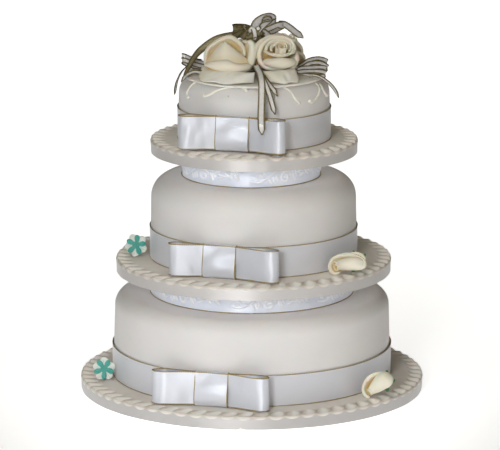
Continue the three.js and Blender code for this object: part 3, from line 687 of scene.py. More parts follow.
# foot, tip [along, height] and half width of each leaf, from the scroll's middle
LEAVES_OF_SCROLL = [
    ([9.5, 13.5], [12.5, 6.0], 2.2), ([13.0, 15.0], [15.5, 9.5], 1.5), ([8.5, 17.0], [14.5, 20.5], 1.8),
    ([16.0, 14.5], [21.5, 17.0], 1.5), ([19.5, 9.0], [25.5, 12.5], 1.3), ([-9.5, 6.5], [-11.5, 12.5], 1.7),
    ([-13.0, 5.5], [-14.5, 11.0], 1.7), ([-16.5, 4.5], [-19.5, 9.5], 1.6),
    ([-8.0, 17.5], [-14.5, 20.5], 1.6), ([28.0, 14.5], [33.5, 9.5], 1.7),
    ([32.0, 16.5], [37.0, 11.0], 1.7), ([37.5, 15.5], [43.5, 8.5], 1.8),
    ([-26.0, 10.5], [-31.0, 15.5], 1.6), ([-31.5, 8.0], [-37.5, 12.0], 1.5),
    ([-24.0, 15.0], [-27.5, 20.0], 1.4),
]
STEMS_OF_SCROLL = [
    [[6.0, 12.5], [2.5, 17.5], [-5.0, 19.5], [-13.0, 16.0], [-21.0, 10.5], [-30.0, 6.0], [-40.0, 7.5]],
    [[12.0, 16.5], [20.0, 13.0], [27.0, 11.5], [34.0, 13.5], [42.0, 17.5], [48.0, 16.0]],
]


def coil(turns, radius, along, height, mirrored=1):
    """The points of a flat scroll that winds in to its middle."""
    share = np.linspace(0, 1, int(turns * 40))
    out = radius * (1 - COIL_WINDS_IN * share)
    angle = COIL_START + 2 * math.pi * turns * share
    return np.stack([along + mirrored * out * np.cos(angle), height + out * np.sin(angle)], -1)


def embossed(along, height):
    """The relief over one repeat of the pattern, from 0 to 1, made of round dabs."""
    lines = [(coil(along=0, **SCROLL), SCROLL_HALF), (coil(mirrored=-1, **SMALL_SCROLL), SMALL_HALF)]
    lines += [(smooth(stem, 0.8), STEM_HALF) for stem in STEMS_OF_SCROLL]
    dabs = [(*point, half) for line, half in lines for point in line]
    for foot, tip, half in LEAVES_OF_SCROLL:
        for share in np.linspace(0, 1, 14):
            point = np.array(foot) + (np.array(tip) - np.array(foot)) * share
            dabs.append((*point, half * math.sin(math.pi * (0.12 + 0.8 * share)) ** 0.8))
    raised = np.zeros(np.broadcast(along, height).shape)
    for x, y, half in dabs:
        near = (along - x) ** 2 + (height - y) ** 2
        raised = np.maximum(raised, np.sqrt(held(1 - near / half ** 2)))
    return raised


def separator_part(radius, height, repeats, first):
    """A drum with its embossed side and its flat ends."""
    period = 2 * math.pi * radius / repeats
    columns = int(period / RELIEF_STEP)
    along = (np.arange(columns) / columns - 0.5) * period
    level = np.linspace(0, height, int(height / RELIEF_STEP))
    relief = np.tile(embossed(along[None, :] * REPEAT_LENGTH / period, level[:, None]), repeats)
    azimuth = first + np.arange(columns * repeats) * 360 / (columns * repeats) - 180 / repeats
    wall = polar(azimuth[None, :], radius - RELIEF - 0.05 + RELIEF * relief, level[:, None])
    inner = radius - END_INSET
    corners = (0, 0), (inner, 0), (inner, height), (0, height)
    ends = [polar(azimuth, out, up)[None] for out, up in corners]
    raised = np.pad(relief, ((2, 2), (0, 0)))
    cloth = np.stack([raised, 0 * raised], -1)
    return grid(np.concatenate([*ends[:2], wall, *ends[2:]]), around=True, cloth=cloth)


def pearl_varies(place):
    raised, grain = spread(axis(cloth_of(place), 0), 0.2, 0.8), noise(place, 700, 2)
    ground = clouded(noise(place, 45, 3), seen(222, 227, 240), seen(230, 234, 244))
    return {
        # the raised scrolls are painted lighter and the bluish ground beside them darker: a painted
        # highlight on the relief and painted shade around it
        "Base Color": tinted(raised, ground, seen(248, 250, 255)),
        "Roughness": rough(grain, 0.4, 0.5),
        "Normal": bumped(grain, 0.12, 0.0003),
    }


# its faint bluish emission makes the paper glow though it is no lamp: painted light
glowing_pearl = finish("glowing_pearl_paper", {"Metallic": 0.2, "Anisotropic": 0.8, "Anisotropic Rotation": 0.25,
                               "Sheen Weight": 0.2, "Emission Color": (0.8, 0.88, 1, 1),
                               "Emission Strength": 0.14}, pearl_varies)

for name, dummy in SEPARATORS.items():
    low, high = (corner.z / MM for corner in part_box(f"separator_{name}"))
    part = separator_part(dummy["radius"], high - low, dummy["repeats"], dummy["first"])
    foot = polar(np.arange(0, 360, 0.6), dummy["radius"] - CORD_RADIUS, CORD_RADIUS)
    piece(f"dummy_{name}", [part, thread(foot, CORD_RADIUS)], [glowing_pearl, gold_thread],
          [f"separator_{name}"], at=(dummy["middle"], 0, low))

# -------------------------------------------------------------- piped scrolls
# Royal icing piped freehand with a small round nozzle over the shoulder of the top
# tier. Each line swells where the hand slows and ends in a bead.

# azimuth and height of the points of each line, above the foot of the tier
PIPING = [
    [[-62.6, 67.2], [-63.3, 63.9], [-63.3, 59.3], [-62.4, 54.2], [-58.1, 50.5]],
    [[-13.0, 67.4], [-23.3, 66.6], [-32.0, 63.3], [-38.2, 58.2], [-42.9, 56.8]],
    [[-13.2, 67.4], [-8.8, 66.1], [-5.2, 65.0]],
    [[25.7, 67.4], [29.9, 63.5], [32.3, 56.4], [36.3, 48.5]],
    [[64.8, 67.4], [64.7, 64.5], [61.0, 58.3], [54.9, 52.3], [47.5, 49.2], [45.9, 52.3]],
    [[68.5, 63.9], [67.3, 57.0], [72.1, 49.8]],
    [[-21.7, 59.3], [-20.2, 58.0]],
]
# the lines that are piped again half a turn round, behind
REPEATED_BEHIND = (0, 1, 3, 4)
PIPING_RADIUS = 1.4
PIPING_SIDES = 10
PIPING_LIFT = 0.45
BEAD_RADIUS = 2.1
# how much the hand's pressure swells a line, slowly and in small beats
SLOW_SWELL = 0.16
FAST_SWELL = 0.08
FAST_BEATS = 31


def on_shoulder(tier, points, lift):
    """Points [azimuth, height] on a tier's side, lifted off it."""
    side = tier_side(tier)
    azimuth, height = np.array(points).T
    radius = np.interp(height, side[:, 1], side[:, 0])
    bend = tier["height"] - tier["shoulder"]
    lean = np.arcsin(held((height - bend) / tier["shoulder"]))
    return polar(azimuth, radius + lift * np.cos(lean), height + lift * np.sin(lean))


def piped_line(tier, stroke, seed):
    """One line of icing over a tier's shoulder, with its bead and its rounded ends."""
    own = np.random.default_rng(seed)
    line = on_shoulder(tier, smooth(stroke, 0.35), PIPING_LIFT)
    share = np.linspace(0, 1, len(line))
    slow = SLOW_SWELL * np.sin(share * own.uniform(9, 14) + own.uniform(0, 6))
    fast = FAST_SWELL * np.sin(share * FAST_BEATS)
    radii = PIPING_RADIUS * (1 + slow + fast) * (0.8 + 0.2 * share)
    length = np.linalg.norm(np.diff(line, axis=0), axis=1).sum()
    bead = held(1 - (1 - share) * length / BEAD_RADIUS / 2)
    radii = np.maximum(radii, BEAD_RADIUS * np.sqrt(held(1 - (1 - bead * 2) ** 2)))
    rounded = np.sqrt(held(share * len(share) / 3) * held((1 - share) * len(share) / 3))
    return tube(line, (radii * held(rounded, 0.02))[:, None], PIPING_SIDES)


def royal_icing_varies(place):
    grain = noise(place, 500, 3)
    return {
        "Base Color": tinted(noise(place, 80, 2), seen(246, 242, 230), seen(252, 249, 240)),
        "Roughness": rough(grain, 0.35, 0.5),
        "Normal": bumped(grain, 0.15, 0.0003),
    }


ROYAL_GLOW = {"Subsurface Weight": 0.1, "Subsurface Scale": 0.002}
royal_icing = finish("royal_icing", ROYAL_GLOW, royal_icing_varies)
lines = PIPING + [[[a + 180, h] for a, h in PIPING[i]] for i in REPEATED_BEHIND]
piece("piped_scrolls", [piped_line(TIERS["top"], line, seed) for seed, line in enumerate(lines)],
      [royal_icing], at=TIERS["top"]["at"])

# ------------------------------------------------------------- sugar blossoms
# Flowers cut from thin sugar paste and cupped on a foam pad: a mint star with five
# narrow petals is stuck on a wider white flower, and the pair stands on the board
# against the foot of the tier.

BLOSSOMS = {
    "bottom": {"at": (-75.3, 168.5, 12.6), "turn": -8},
    "middle": {"at": (-86, 130, 12.6), "turn": 17},
}
BLOSSOM_AIM = (-12, 14)
PETALS = 5
WHITE_FLOWER = {"radius": 13.0, "middle": 0.62, "half": 0.36, "cup": 2.5, "thickness": 1.1}
MINT_FLOWER = {"radius": 11.5, "middle": 0.66, "half": 0.255, "cup": 2.0, "thickness": 1.3}
MINT_LIFT = 2.4
JOINED = 0.36
VEIN = 0.45
VEIN_HALF = 0.7
PETAL_ARCH = 0.05


def aimed(azimuth, elevation):
    """The turn that points +Z along an azimuth and an elevation."""
    tilt = math.radians(elevation)
    target = Vector(polar(azimuth, math.cos(tilt), math.sin(tilt)))
    return np.array(Vector((0, 0, 1)).rotation_difference(target).to_matrix())


def moved(part, turn, to):
    """The part turned about its own middle and then moved."""
    return {**part, "points": part["points"] @ turn.T + np.array(to)}


def flower(radius, middle, half, cup, thickness, turn, lift=0.0):
    """A flower cut in one: each petal is an oval round its middle, cupped, with a
    fine vein pressed along it."""
    angle = np.arange(0, 360, 2.0)
    off = np.radians((angle + 180 / PETALS) % (360 / PETALS) - 180 / PETALS)
    reach = 1 - middle
    # a, b and c give the oval's far edge in each direction as a quadratic equation
    a = (np.cos(off) / reach) ** 2 + (np.sin(off) / half) ** 2
    b = -2 * middle * np.cos(off) / reach ** 2
    c = (middle / reach) ** 2 - 1
    inside = b ** 2 - 4 * a * c
    edge = np.where(inside > 0, (-b + np.sqrt(np.clip(inside, 0, None))) / (2 * a), 0)
    shares = np.array([0, 0.12, 0.25, 0.4, 0.55, 0.7, 0.82, 0.91, 0.97, 1.0])[:, None]
    out = shares * np.maximum(edge, JOINED)[None, :]
    across = out * np.sin(off)[None, :] * radius
    dip = VEIN * np.exp(-((across / VEIN_HALF) ** 2)) * held(out * 4 - 0.8) * held((1 - out) * 5)
    rise = lift + (cup * out ** 1.6 - PETAL_ARCH * across ** 2 - dip)
    body = np.sqrt(held(1 - held((shares - 0.8) / 0.2) ** 2, 0.02)) * thickness
    face = polar(angle[None, :] + turn, out * radius, rise)
    back = polar(angle[None, :] + turn, out * radius, rise - body)
    cloth = np.stack([out, 0 * out], -1)
    return grid(np.concatenate([face, back[::-1]]), around=True, cloth=np.concatenate([cloth, cloth[::-1]]))


def sugar_paste(name, low, high, shade):
    """Sugar paste with a deeper tint where its first mark is low, as it is in the
    middle of a flower."""

    def varies(place):
        cloud, grain = noise(place, 160, 3), noise(place, 900, 2)
        deep = spread(axis(cloth_of(place), 0) + cloud * 0.5, 0.25, 0.75, 1, 0)
        return {
            "Base Color": tinted(deep * 0.5, clouded(cloud, low, high), shade),
            "Roughness": rough(grain, 0.45, 0.6),
            "Normal": bumped(grain * 0.4 + cloud * 0.6, 0.3, 0.0003),
        }

    return finish(name, {"Subsurface Weight": 0.12, "Subsurface Scale": 0.002}, varies)


white_sugar = sugar_paste("white_sugar", seen(234, 232, 226), seen(242, 240, 235), seen(226, 222, 206))
mint_sugar = sugar_paste("mint_sugar", seen(66, 162, 150), seen(80, 174, 162), seen(52, 142, 124))

for name, blossom in BLOSSOMS.items():
    turn = aimed(*BLOSSOM_AIM)
    at = polar(*blossom["at"])
    white = flower(turn=blossom["turn"] + 180 / PETALS, **WHITE_FLOWER)
    mint = flower(turn=blossom["turn"], lift=MINT_LIFT, **MINT_FLOWER)
    for colour, part, sugar in (("white", white, white_sugar), ("mint", mint, mint_sugar)):
        piece(f"{colour}_flower_{name}", [moved(part, turn, at)], [sugar],
              [f"blossom_{colour}_{name}"], at=TIERS[name]["at"])

# ------------------------------------------------------------- sugar rosebuds
# Half-open buds of sugar paste laid on the boards: one petal is rolled into a fat
# middle, a second with a thick soft lip wraps its left and top, and a green calyx
# holds the heel. The bud on the middle board has a third petal behind.

# In each bud's own plane, right and up from its middle and then towards the viewer:
# the line of the lip, the line of a petal behind it, the middle's own line from its
# heel to its mouth with its radius at the mouth and at its belly, and where its calyx
# is and how far it is turned.
ROSEBUDS = {
    "bottom": {
        "lip": [(-7.0, -14.2), (-11, -13.4), (-14.6, -8.4), (-14.6, -2), (-11.5, 4.9), (-6.4, 9.8),
                (0, 12.6), (6.6, 13.6), (11.8, 11.4)],
        "middle": [(13.5, 10, -6), (7, 4.5, -1), (-0.5, -3.5, 1), (-7.5, -11, 3.5)],
        "radius": (3.6, 10.6), "calyx": (6.5, 5, -8), "sepals": 30,
    },
    "middle": {
        "lip": [(-7.4, -12.2), (-12.2, -13.6), (-17.6, -10), (-18.8, -3.5), (-16.3, 2.7), (-10.1, 6.3),
                (-2.5, 8.3), (5.7, 8.1), (13.3, 5.8), (17.8, 2.3), (18.2, -2.7), (15.3, -6.4)],
        "behind": [(-7, 5), (-1, 9.6), (7, 11.8), (13.5, 10.4), (18, 5.5)],
        "middle": [(19, -0.5, -6), (10, -1.5, -1), (0, -3, 0), (-8, -5, 2.5), (-12.3, -7.5, 5.5)],
        "radius": (5.2, 8.4), "calyx": (9, 3, -8), "sepals": 62,
    },
}
BUD_FACING = (-12, 30)
BUD_REST = 12.6
LIP_SIZE = 1.6
BOWL_DEPTH = 7.0
BEHIND_DEPTH = 4.5
BEHIND_LIP = 1.2
BUD_TURNS = 1.35
BUD_THICKNESS = 1.9
EDGE_AT = 200.0
HEEL_SHARE = 0.36
MOUTH_SHARE = 0.14
MOUTH_FLARE = 0.18
MOUTH_DUST = 0.42
# where the middle starts to narrow to its mouth, and over how much of its length
NARROWS_AT = 0.3
NARROWS_OVER = 0.62
PETAL_THICKNESS = 1.8
BODY_SHARE = 0.68
ROLL_ANGLE = 205.0
CALYX_TURN = 8.0
SEPALS = {"radius": 13.0, "middle": 0.6, "half": 0.2, "cup": 4.0, "thickness": 0.9}


def facing(azimuth, elevation):
    """The turn whose x runs right and whose z points along an azimuth and elevation."""
    tilt = math.radians(elevation)
    z = polar(azimuth, math.cos(tilt), math.sin(tilt))
    x = polar(azimuth + 90, 1.0, 0.0)
    return np.stack([x, np.cross(z, x), z], 1)


def eased(count, rim=0.02):
    """Shares from 0 to 1 with extra ones near both ends, for a rounded rim."""
    between = np.linspace(rim * 2.2, 1 - rim * 2.2, count)
    return np.unique(np.concatenate([[0, rim / 3, rim], between, [1 - rim, 1 - rim / 3, 1]]))


def petal_rows(count):
    """Shares up a petal, how far each is up its body and how far its lip is rolled."""
    v = np.concatenate([np.linspace(0, BODY_SHARE, count, endpoint=False), np.linspace(BODY_SHARE, 1, 14)])
    return v, held(v / BODY_SHARE), np.radians(ROLL_ANGLE) * held((v - BODY_SHARE) / (1 - BODY_SHARE))


def shell(surface, u, v, thickness, rim=0.05, clean_and_lit=None):
    """A sheet of paste on both sides of a surface[u][v], thinner towards its rim. The
    second mark of each side, from 0 where it is dusted to 1, is v or as clean gives."""
    normal = unit(np.cross(np.gradient(surface, u, axis=0), np.gradient(surface, v, axis=1)))
    near = np.minimum(np.minimum(u, 1 - u)[:, None], (1 - v)[None, :]) / rim
    body = thickness / 2 * np.sqrt(held(1 - (1 - held(near)) ** 2))
    body = body[..., None] * normal
    cloth = [np.stack(np.broadcast_arrays(u[:, None], mark[None, :]), -1) for mark in clean_and_lit or (v, v)]
    return grid(np.concatenate([surface - body, (surface + body)[:, ::-1]], 1), around=True,
                cloth=np.concatenate([cloth[0], cloth[1][:, ::-1]], 1))


def bud_middle(route, mouth, belly):
    """A fat petal rolled round a route, from a round heel to its narrower mouth, which
    is dusted inside."""
    u, v = eased(70), eased(30)
    line = smooth(route, 0.3)
    centre = sampled(line, np.linspace(0, 1, len(line)), v)
    direction = along_route(centre)[0]
    side = unit(np.cross(direction, [0.0, 1.0, 0.0]))
    lift = np.cross(direction, side)
    round_heel = np.sqrt(1 - (1 - held(v / HEEL_SHARE, 0.04)) ** 2)
    narrow = belly + (mouth - belly) * held((v - NARROWS_AT) / NARROWS_OVER) ** 1.5
    lip = 1 + MOUTH_FLARE * held((v - (1 - MOUTH_SHARE)) / MOUTH_SHARE) ** 2
    reach = (0.4 + 0.6 * u[:, None]) * (round_heel * narrow * lip)[None, :]
    angle = np.radians(EDGE_AT + 360 * BUD_TURNS * u)[:, None, None]
    surface = centre[None] + reach[..., None] * (np.cos(angle) * side[None] + np.sin(angle) * lift[None])
    return shell(surface, u, v, BUD_THICKNESS, clean_and_lit=(MOUTH_DUST * v, np.ones_like(v)))


def lipped_petal(outline, size, heel):
    """A cupped petal whose thick lip, rolled outward, follows an outline. The cup ends
    at its heel, and only its inside is dusted."""
    u = eased(64, 0.015)
    v, t, phi = petal_rows(12)
    t, phi = t[None, :, None], phi[None, :, None]
    line = smooth(outline, 0.5)
    lip = sampled(line, np.linspace(0, 1, len(line)), u)[:, None]
    up = np.array([0.0, 0.0, 1.0])
    away = unit((lip - heel) * (1 - up))
    radius = (size * (0.35 + 0.65 * np.sin(math.pi * u) ** 0.5))[:, None, None]
    edge = lip - radius * away
    out = 0.2 + 0.8 * np.sin(math.pi / 2 * t) ** 0.9
    body = heel + (edge - heel) * (out * (1 - up) + t * up)
    surface = body + radius * ((1 - np.cos(phi)) * away + np.sin(phi) * up)
    turning = np.cross(lip[len(u) // 2, 0] - heel, lip[-1, 0] - lip[0, 0])[2]
    sides = (np.ones_like(v), v) if turning < 0 else (v, np.ones_like(v))
    return shell(surface, u, v, PETAL_THICKNESS, rim=0.03, clean_and_lit=sides)


def ivory_varies(place):
    cloud, grain = noise(place, 90, 3), noise(place, 700, 3)
    rim = spread(axis(cloth_of(place), 1) + cloud * 0.3 - 0.15, 0.3, 0.72)
    return {
        "Base Color": tinted(rim, seen(232, 202, 134), seen(242, 235, 217)),
        "Roughness": rough(grain, 0.45, 0.6),
        "Normal": bumped(cloud * 0.6 + grain * 0.3, 0.3, 0.0005),
    }


ivory_sugar = finish("ivory_sugar", {"Subsurface Weight": 0.15, "Subsurface Scale": 0.003}, ivory_varies)
green_sugar = sugar_paste("green_sugar", seen(70, 120, 82), seen(96, 142, 96), seen(60, 104, 74))

for name, bud in ROSEBUDS.items():
    low, high = (np.array(corner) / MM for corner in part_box(f"rosebud_{name}"))
    at = ((low[0] + high[0]) / 2, (low[1] + high[1]) / 2, low[2] + BUD_REST)
    turn = facing(*BUD_FACING)
    lip = [(*point, 0) for point in bud["lip"]]
    heel = (*smooth(lip, 0.5).mean(0)[:2], -BOWL_DEPTH)
    parts = [bud_middle(bud["middle"], *bud["radius"]), lipped_petal(lip, LIP_SIZE, heel)]
    if "behind" in bud:
        behind = [(*point, -BEHIND_DEPTH) for point in bud["behind"]]
        parts.append(lipped_petal(behind, BEHIND_LIP, (*heel[:2], -BOWL_DEPTH - 1)))
    parts = [moved(part, turn, at) for part in parts]
    # it is let down until it rests on the board's icing
    drop = min(part["points"][:, 2].min() for part in parts) - (BOARDS[name]["foot"] + BOARD_HEIGHT)
    for part in parts:
        part["points"][:, 2] -= drop
    piece(f"bud_{name}", parts, [ivory_sugar], [f"rosebud_{name}"])
    calyx = flower(turn=bud["sepals"], **SEPALS)
    leaning = facing(BUD_FACING[0] - CALYX_TURN, BUD_FACING[1])
    calyx_at = np.array(bud["calyx"]) @ turn.T + at - [0, 0, drop]
    piece(f"calyx_{name}", [moved(calyx, leaning, calyx_at)], [green_sugar],
          [f"rosebud_sepals_{name}"])

# --------------------------------------------------------------------- plaque
# A thin disc of sugar paste on the top tier carries the spray of flowers, so that
# the wires don't go into the cake. Its edge is rolled soft.

PLAQUE_RADIUS = 77.0
# its radius and height, from the middle of its underside over the rim to the top
PLAQUE_PROFILE = [
    (0, 0), (75.9, 0), (76.7, 0.35), (77.0, 1.0), (76.9, 1.7), (76.4, 2.2), (75.5, 2.45),
    (74, 2.5), (60, 2.5), (30, 2.5), (0, 2.5),
]
PLAQUE_UNEVEN = 0.25

azimuth = np.arange(0, 360, 2.0)
radius, height = np.array(PLAQUE_PROFILE).T[..., None]
uneven = PLAQUE_UNEVEN * waves(azimuth, 0, 5, 120, 40)[None, :] * (radius / PLAQUE_RADIUS) ** 6
disc = grid(polar(azimuth[None, :], radius - np.abs(uneven), height), around=True)
plaque_sugar = sugar_paste("plaque_sugar", seen(246, 243, 234), seen(250, 248, 241), seen(246, 243, 234))
piece("sugar_plaque", [disc], [plaque_sugar], ["plaque"],
      at=(BOARDS["top"]["middle"], 0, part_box("plaque")[0].z / MM))

# ---------------------------------------------------------------- sugar roses
# Three wired roses of sugar paste. Each has a wound middle and petals with fat lips,
# rolled outward on a cocktail stick, that overlap round it. Their insides are dusted
# yellow.

SPRAY_AT = (BOARDS["top"]["middle"], 0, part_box("plaque")[1].z / MM)
# "petals" stand round the rose's own axis, each with the azimuth of its middle, half its
# spread, its lip's distance and height, its lean outward and its roll. Distances are
# shares of the rose's radius, and angles are in degrees. "cone" and "roll" are two kinds
# of middle: a cone has its width, its length, where its edge starts, its shift and its
# aim, and a roll has its width, its turns, its length, its shift and its aim. "lips" are
# petals given one by one, each with its roll, how far out its middle and its ends are,
# and its line to the right and upward, as the rose faces the front.
ROSES = {
    "left": {
        "at": (-24.5, -29, 26.5), "radius": 30.0, "aim": (-30, 68),
        "cone": (0.88, 1.26, 75, (-7, 0, 0.5), (-8, 82)),
        "petals": ((214, 60, 0.97, -0.04, 8, 2.4), (140, 60, 0.95, -0.04, 8, 2.4)),
        "facing": (-4, 24), "heel": (-4, -3, -17),
        "lips": (
            (1.9, -9, 0, [(-28, -9), (-29, -1), (-26.5, 7), (-20, 13.5), (-11.5, 19), (-2.5, 21), (4, 17.5),
                          (9.5, 12), (12.8, 5.4), (13.6, -2)]),
            (3.6, 1, 2, [(18.2, 15), (21.3, 11), (22.4, 3.4), (21.8, -5), (19.5, -13), (14.5, -17.5)]),
            (6.2, 15, 4, [(-26.5, -12), (-21, -13.4), (-11.5, -15.6), (-0.5, -17.2), (8.2, -18.2),
                          (15.5, -16.5), (20, -12)]),
        ),
    },
    "right": {
        "at": (23.5, -31, 26), "radius": 24.5, "aim": (18, 50),
        "petals": ((105, 50, 0.95, -0.02, 10, 2.4), (180, 60, 0.92, 0.1, 8, 2.4),
                   (235, 52, 0.95, 0.0, 8, 2.4)),
        "facing": (4, 24), "heel": (4, 2, -14), "roll": (0.25, 1.9, 0.8, (5.5, -4, 4), (10, 50)),
        "lips": (
            (1.9, -3, 1, [(-7.4, -14.6), (-15.2, -11.5), (-17.8, -4.3), (-16.7, 5.6), (-13, 13.6),
                          (-6.3, 18.6), (2.4, 20.2), (11.1, 19.4), (17.6, 15.6), (20, 8.8), (19.5, 1.2)]),
            (1.5, -1, 3, [(-11, 3.9), (-9.1, 10.4), (-3.6, 14.9), (3.5, 16.4), (10.8, 15), (15.4, 11.4),
                          (16.4, 6.4), (13.4, 2.8)]),
            (1.9, 7, 3, [(-12.2, 4), (-7, 0.1), (1.3, -1.7), (10, -1.4), (17, 1), (19.6, 4.6)]),
            (5.2, 11, 3, [(-12.5, -6.5), (-8.5, -9.5), (-2, -11.2), (7.5, -11.6), (14.8, -10), (19, -6.5)]),
            (2.2, 5, 2, [(-17.4, 0), (-17.6, -7.5), (-12.6, -13.4), (-5.4, -15.6), (2.4, -15.2),
                         (10, -13.6), (16.5, -10)]),
            (1.3, 1, 4, [(-4.6, 3.4), (-5, 7), (-2.2, 10.6), (3, 12.8), (8.6, 12.2), (12.4, 9), (12.8, 5)]),
        ),
    },
    "back": {
        "at": (35, 21, 26), "radius": 25.0, "aim": (125, 44), "roll": (0.24, 1.4, 1.0, (0, 0, 0), (125, 44)),
        "petals": (
            (60, 78, 0.42, 0.3, -8, 1.2), (180, 78, 0.45, 0.28, -6, 1.2), (300, 78, 0.48, 0.26, -4, 1.3),
            (20, 62, 0.8, 0.16, 6, 2.4), (140, 62, 0.82, 0.14, 8, 2.4), (260, 62, 0.84, 0.12, 8, 2.4),
            (320, 50, 0.96, 0.0, 10, 2.4), (80, 50, 0.94, 0.0, 10, 2.4), (200, 50, 0.94, 0.0, 10, 2.4),
        ),
    },
}
HEEL = -0.78
# a petal: how far out its foot is, how far its bowl goes out towards its lip, how
# straight it comes up to the lip, how much lower its sides are, as a share of its
# height, how many degrees further they lean, and how much thinner its roll is there
PETAL_FOOT = 2.0
PETAL_BOWL = 0.95
PETAL_PULL = 0.55
SIDE_DROP = 0.3
SIDE_LEAN = 8
ROLL_THINS = 0.6
# its sides differ: one stands further out than the other, and its lip is wavy
PETAL_SKEW = 0.05
PETAL_WAVE = 0.5
CONE_BELLY = 0.38
CONE_TAPER = 0.93
CONE_TURN = 470.0
CONE_THICKNESS = 2.0
ROLL_THICKNESS = 1.6
ROLL_LIP = 0.1
ROLL_FLARE = 0.12
ROLL_DUST = 0.6


def rose_petal(radius, turn, half, reach, rise, lean, roll, seed):
    """One petal about +Z: it bowls out from the heel and its lip is rolled outward."""
    own = np.random.default_rng(seed)
    u = eased(26, 0.012)
    v, t, phi = petal_rows(14)
    t, phi = t[None, :], phi[None, :]
    off = (2 * u - 1)[:, None]
    wave = PETAL_WAVE * np.sin(off * own.uniform(2, 4) + own.uniform(0, 6))
    lip_out = radius * reach - roll + wave + PETAL_SKEW * radius * off
    lip_up = radius * (rise - (rise - HEEL) * SIDE_DROP * np.abs(off) ** 2.6) + wave
    tilt = np.radians(lean + SIDE_LEAN * off ** 2)
    heel = radius * HEEL
    # a Bezier curve from the foot to the lip
    out_1 = PETAL_FOOT + PETAL_BOWL * (lip_out - PETAL_FOOT)
    pull = PETAL_PULL * (lip_up - heel)
    out_2, up_2 = lip_out - pull * np.sin(tilt), lip_up - pull * np.cos(tilt)
    first, second, third, last = (1 - t) ** 3, 3 * t * (1 - t) ** 2, 3 * t ** 2 * (1 - t), t ** 3
    out = first * PETAL_FOOT + second * out_1 + third * out_2 + last * lip_out
    up = first * heel + second * heel + third * up_2 + last * lip_up
    size = roll * (1 - ROLL_THINS * np.abs(off) ** 3)
    out = out + size * (np.cos(tilt) - np.cos(tilt + phi))
    up = up + size * (np.sin(tilt + phi) - np.sin(tilt))
    return shell(polar(turn + off * half, out, up), u, v, PETAL_THICKNESS, rim=0.03)


def rose_cone(radius, share, length, start):
    """A closed middle: one petal wound to a point, with its edge left a little open."""
    u, v = eased(60), eased(26)
    swell = np.sin(math.pi / 2 * held(v / CONE_BELLY))
    taper = 1 - CONE_TAPER * held((v - CONE_BELLY) / (1 - CONE_BELLY)) ** 1.25
    wound = 0.45 + 0.5 * u[:, None] + 0.16 * held(u[:, None] * 5 - 4) ** 2
    height = HEEL + length * v[None, :] * (1 - 0.06 * u[:, None])
    reach = share * radius * wound * ((0.5 + 0.5 * swell) * taper)[None, :]
    surface = polar(start + CONE_TURN * (u[:, None] - 1), reach, radius * height)
    return shell(surface, u, v, CONE_THICKNESS)


def rolled_petal(length, radius, turns):
    """An open middle: a petal rolled round +Z, from its narrow heel to its lip."""
    u, v = eased(60), eased(22)
    belly = 0.24 + 0.76 * np.sin(math.pi / 2 * np.minimum(1, 0.1 + 1.5 * v))[None, :]
    reach = radius * (0.34 + 0.66 * u[:, None]) * belly + ROLL_FLARE * radius * v[None, :] ** 5 * u[:, None]
    height = -0.5 * length + length * (1 + ROLL_LIP * np.sin(math.pi * u[:, None])) * v[None, :]
    surface = polar(360 * turns * u[:, None], reach, height)
    return shell(surface, u, v, ROLL_THICKNESS, clean_and_lit=(ROLL_DUST * v, v))


def set_by_hand(rose):
    """The petals of a rose that are given by their lips."""
    turn = facing(*rose["facing"])
    for roll, middle_out, ends_out, line in rose["lips"]:
        share = np.linspace(-1, 1, len(line))
        out = middle_out + (ends_out - middle_out) * share ** 2
        yield moved(lipped_petal(np.column_stack([line, out]), roll, rose["heel"]), turn, rose["at"])


for number, (name, rose) in enumerate(ROSES.items()):
    radius, turn = rose["radius"], aimed(*rose["aim"])
    parts = []
    if "cone" in rose:
        *sizes, shift, aim = rose["cone"]
        parts.append(moved(rose_cone(radius, *sizes), aimed(*aim), np.add(rose["at"], shift)))
    if "roll" in rose:
        share, turns, length, shift, aim = rose["roll"]
        middle = rolled_petal(length * radius, share * radius, turns)
        parts.append(moved(middle, aimed(*aim), np.add(rose["at"], shift)))
    for petal in rose["petals"]:
        parts.append(moved(rose_petal(radius, *petal, seed=number * 20 + len(parts)), turn, rose["at"]))
    if "lips" in rose:
        parts += set_by_hand(rose)
    piece(f"sugar_rose_{name}", parts, [ivory_sugar], [f"rose_{name}"], at=SPRAY_AT, crease=80)

# --------------------------------------------------------------- sugar leaves
# Wide wavy leaves of white sugar paste that slope from under the roses down to the
# plaque.

LEAVES = {
    "front_left": {"azimuth": -35, "near": 60, "far": 77, "width": 70, "rise": 8.8},
    "front_right": {"azimuth": 32, "near": 57, "far": 75, "width": 40, "rise": 9.2},
    "back_left": {"azimuth": -115, "near": 36, "far": 72, "width": 46, "rise": 9},
    "back_right": {"azimuth": 165, "near": 53, "far": 74, "width": 44, "rise": 6},
}
LEAF_REST = 2.0
LEAF_LIFT = 0.6
LEAF_THICKNESS = 1.5
# how far inside its near distance a leaf starts, how much longer it is than from near
# to far, how much it bends round the cake, and how its edge is lobed, waved and droops
LEAF_START = 1
LEAF_LONGER = 1.5
LEAF_BEND = 0.15
LOBE_SIZE = 0.9
WAVE_SIZE = 1.3
LEAF_WAVES = 5
LEAF_DROOP = 1.2
# a dimple pressed by a fingertip near the edge: its depth, its place along and out, and
# how narrow it is each way
DIMPLE = {"depth": 1.6, "along": -0.1, "out": 0.72, "narrow": (7, 5)}
leaf_sugar = sugar_paste("leaf_sugar", seen(240, 236, 225), seen(246, 243, 234), seen(230, 220, 190))

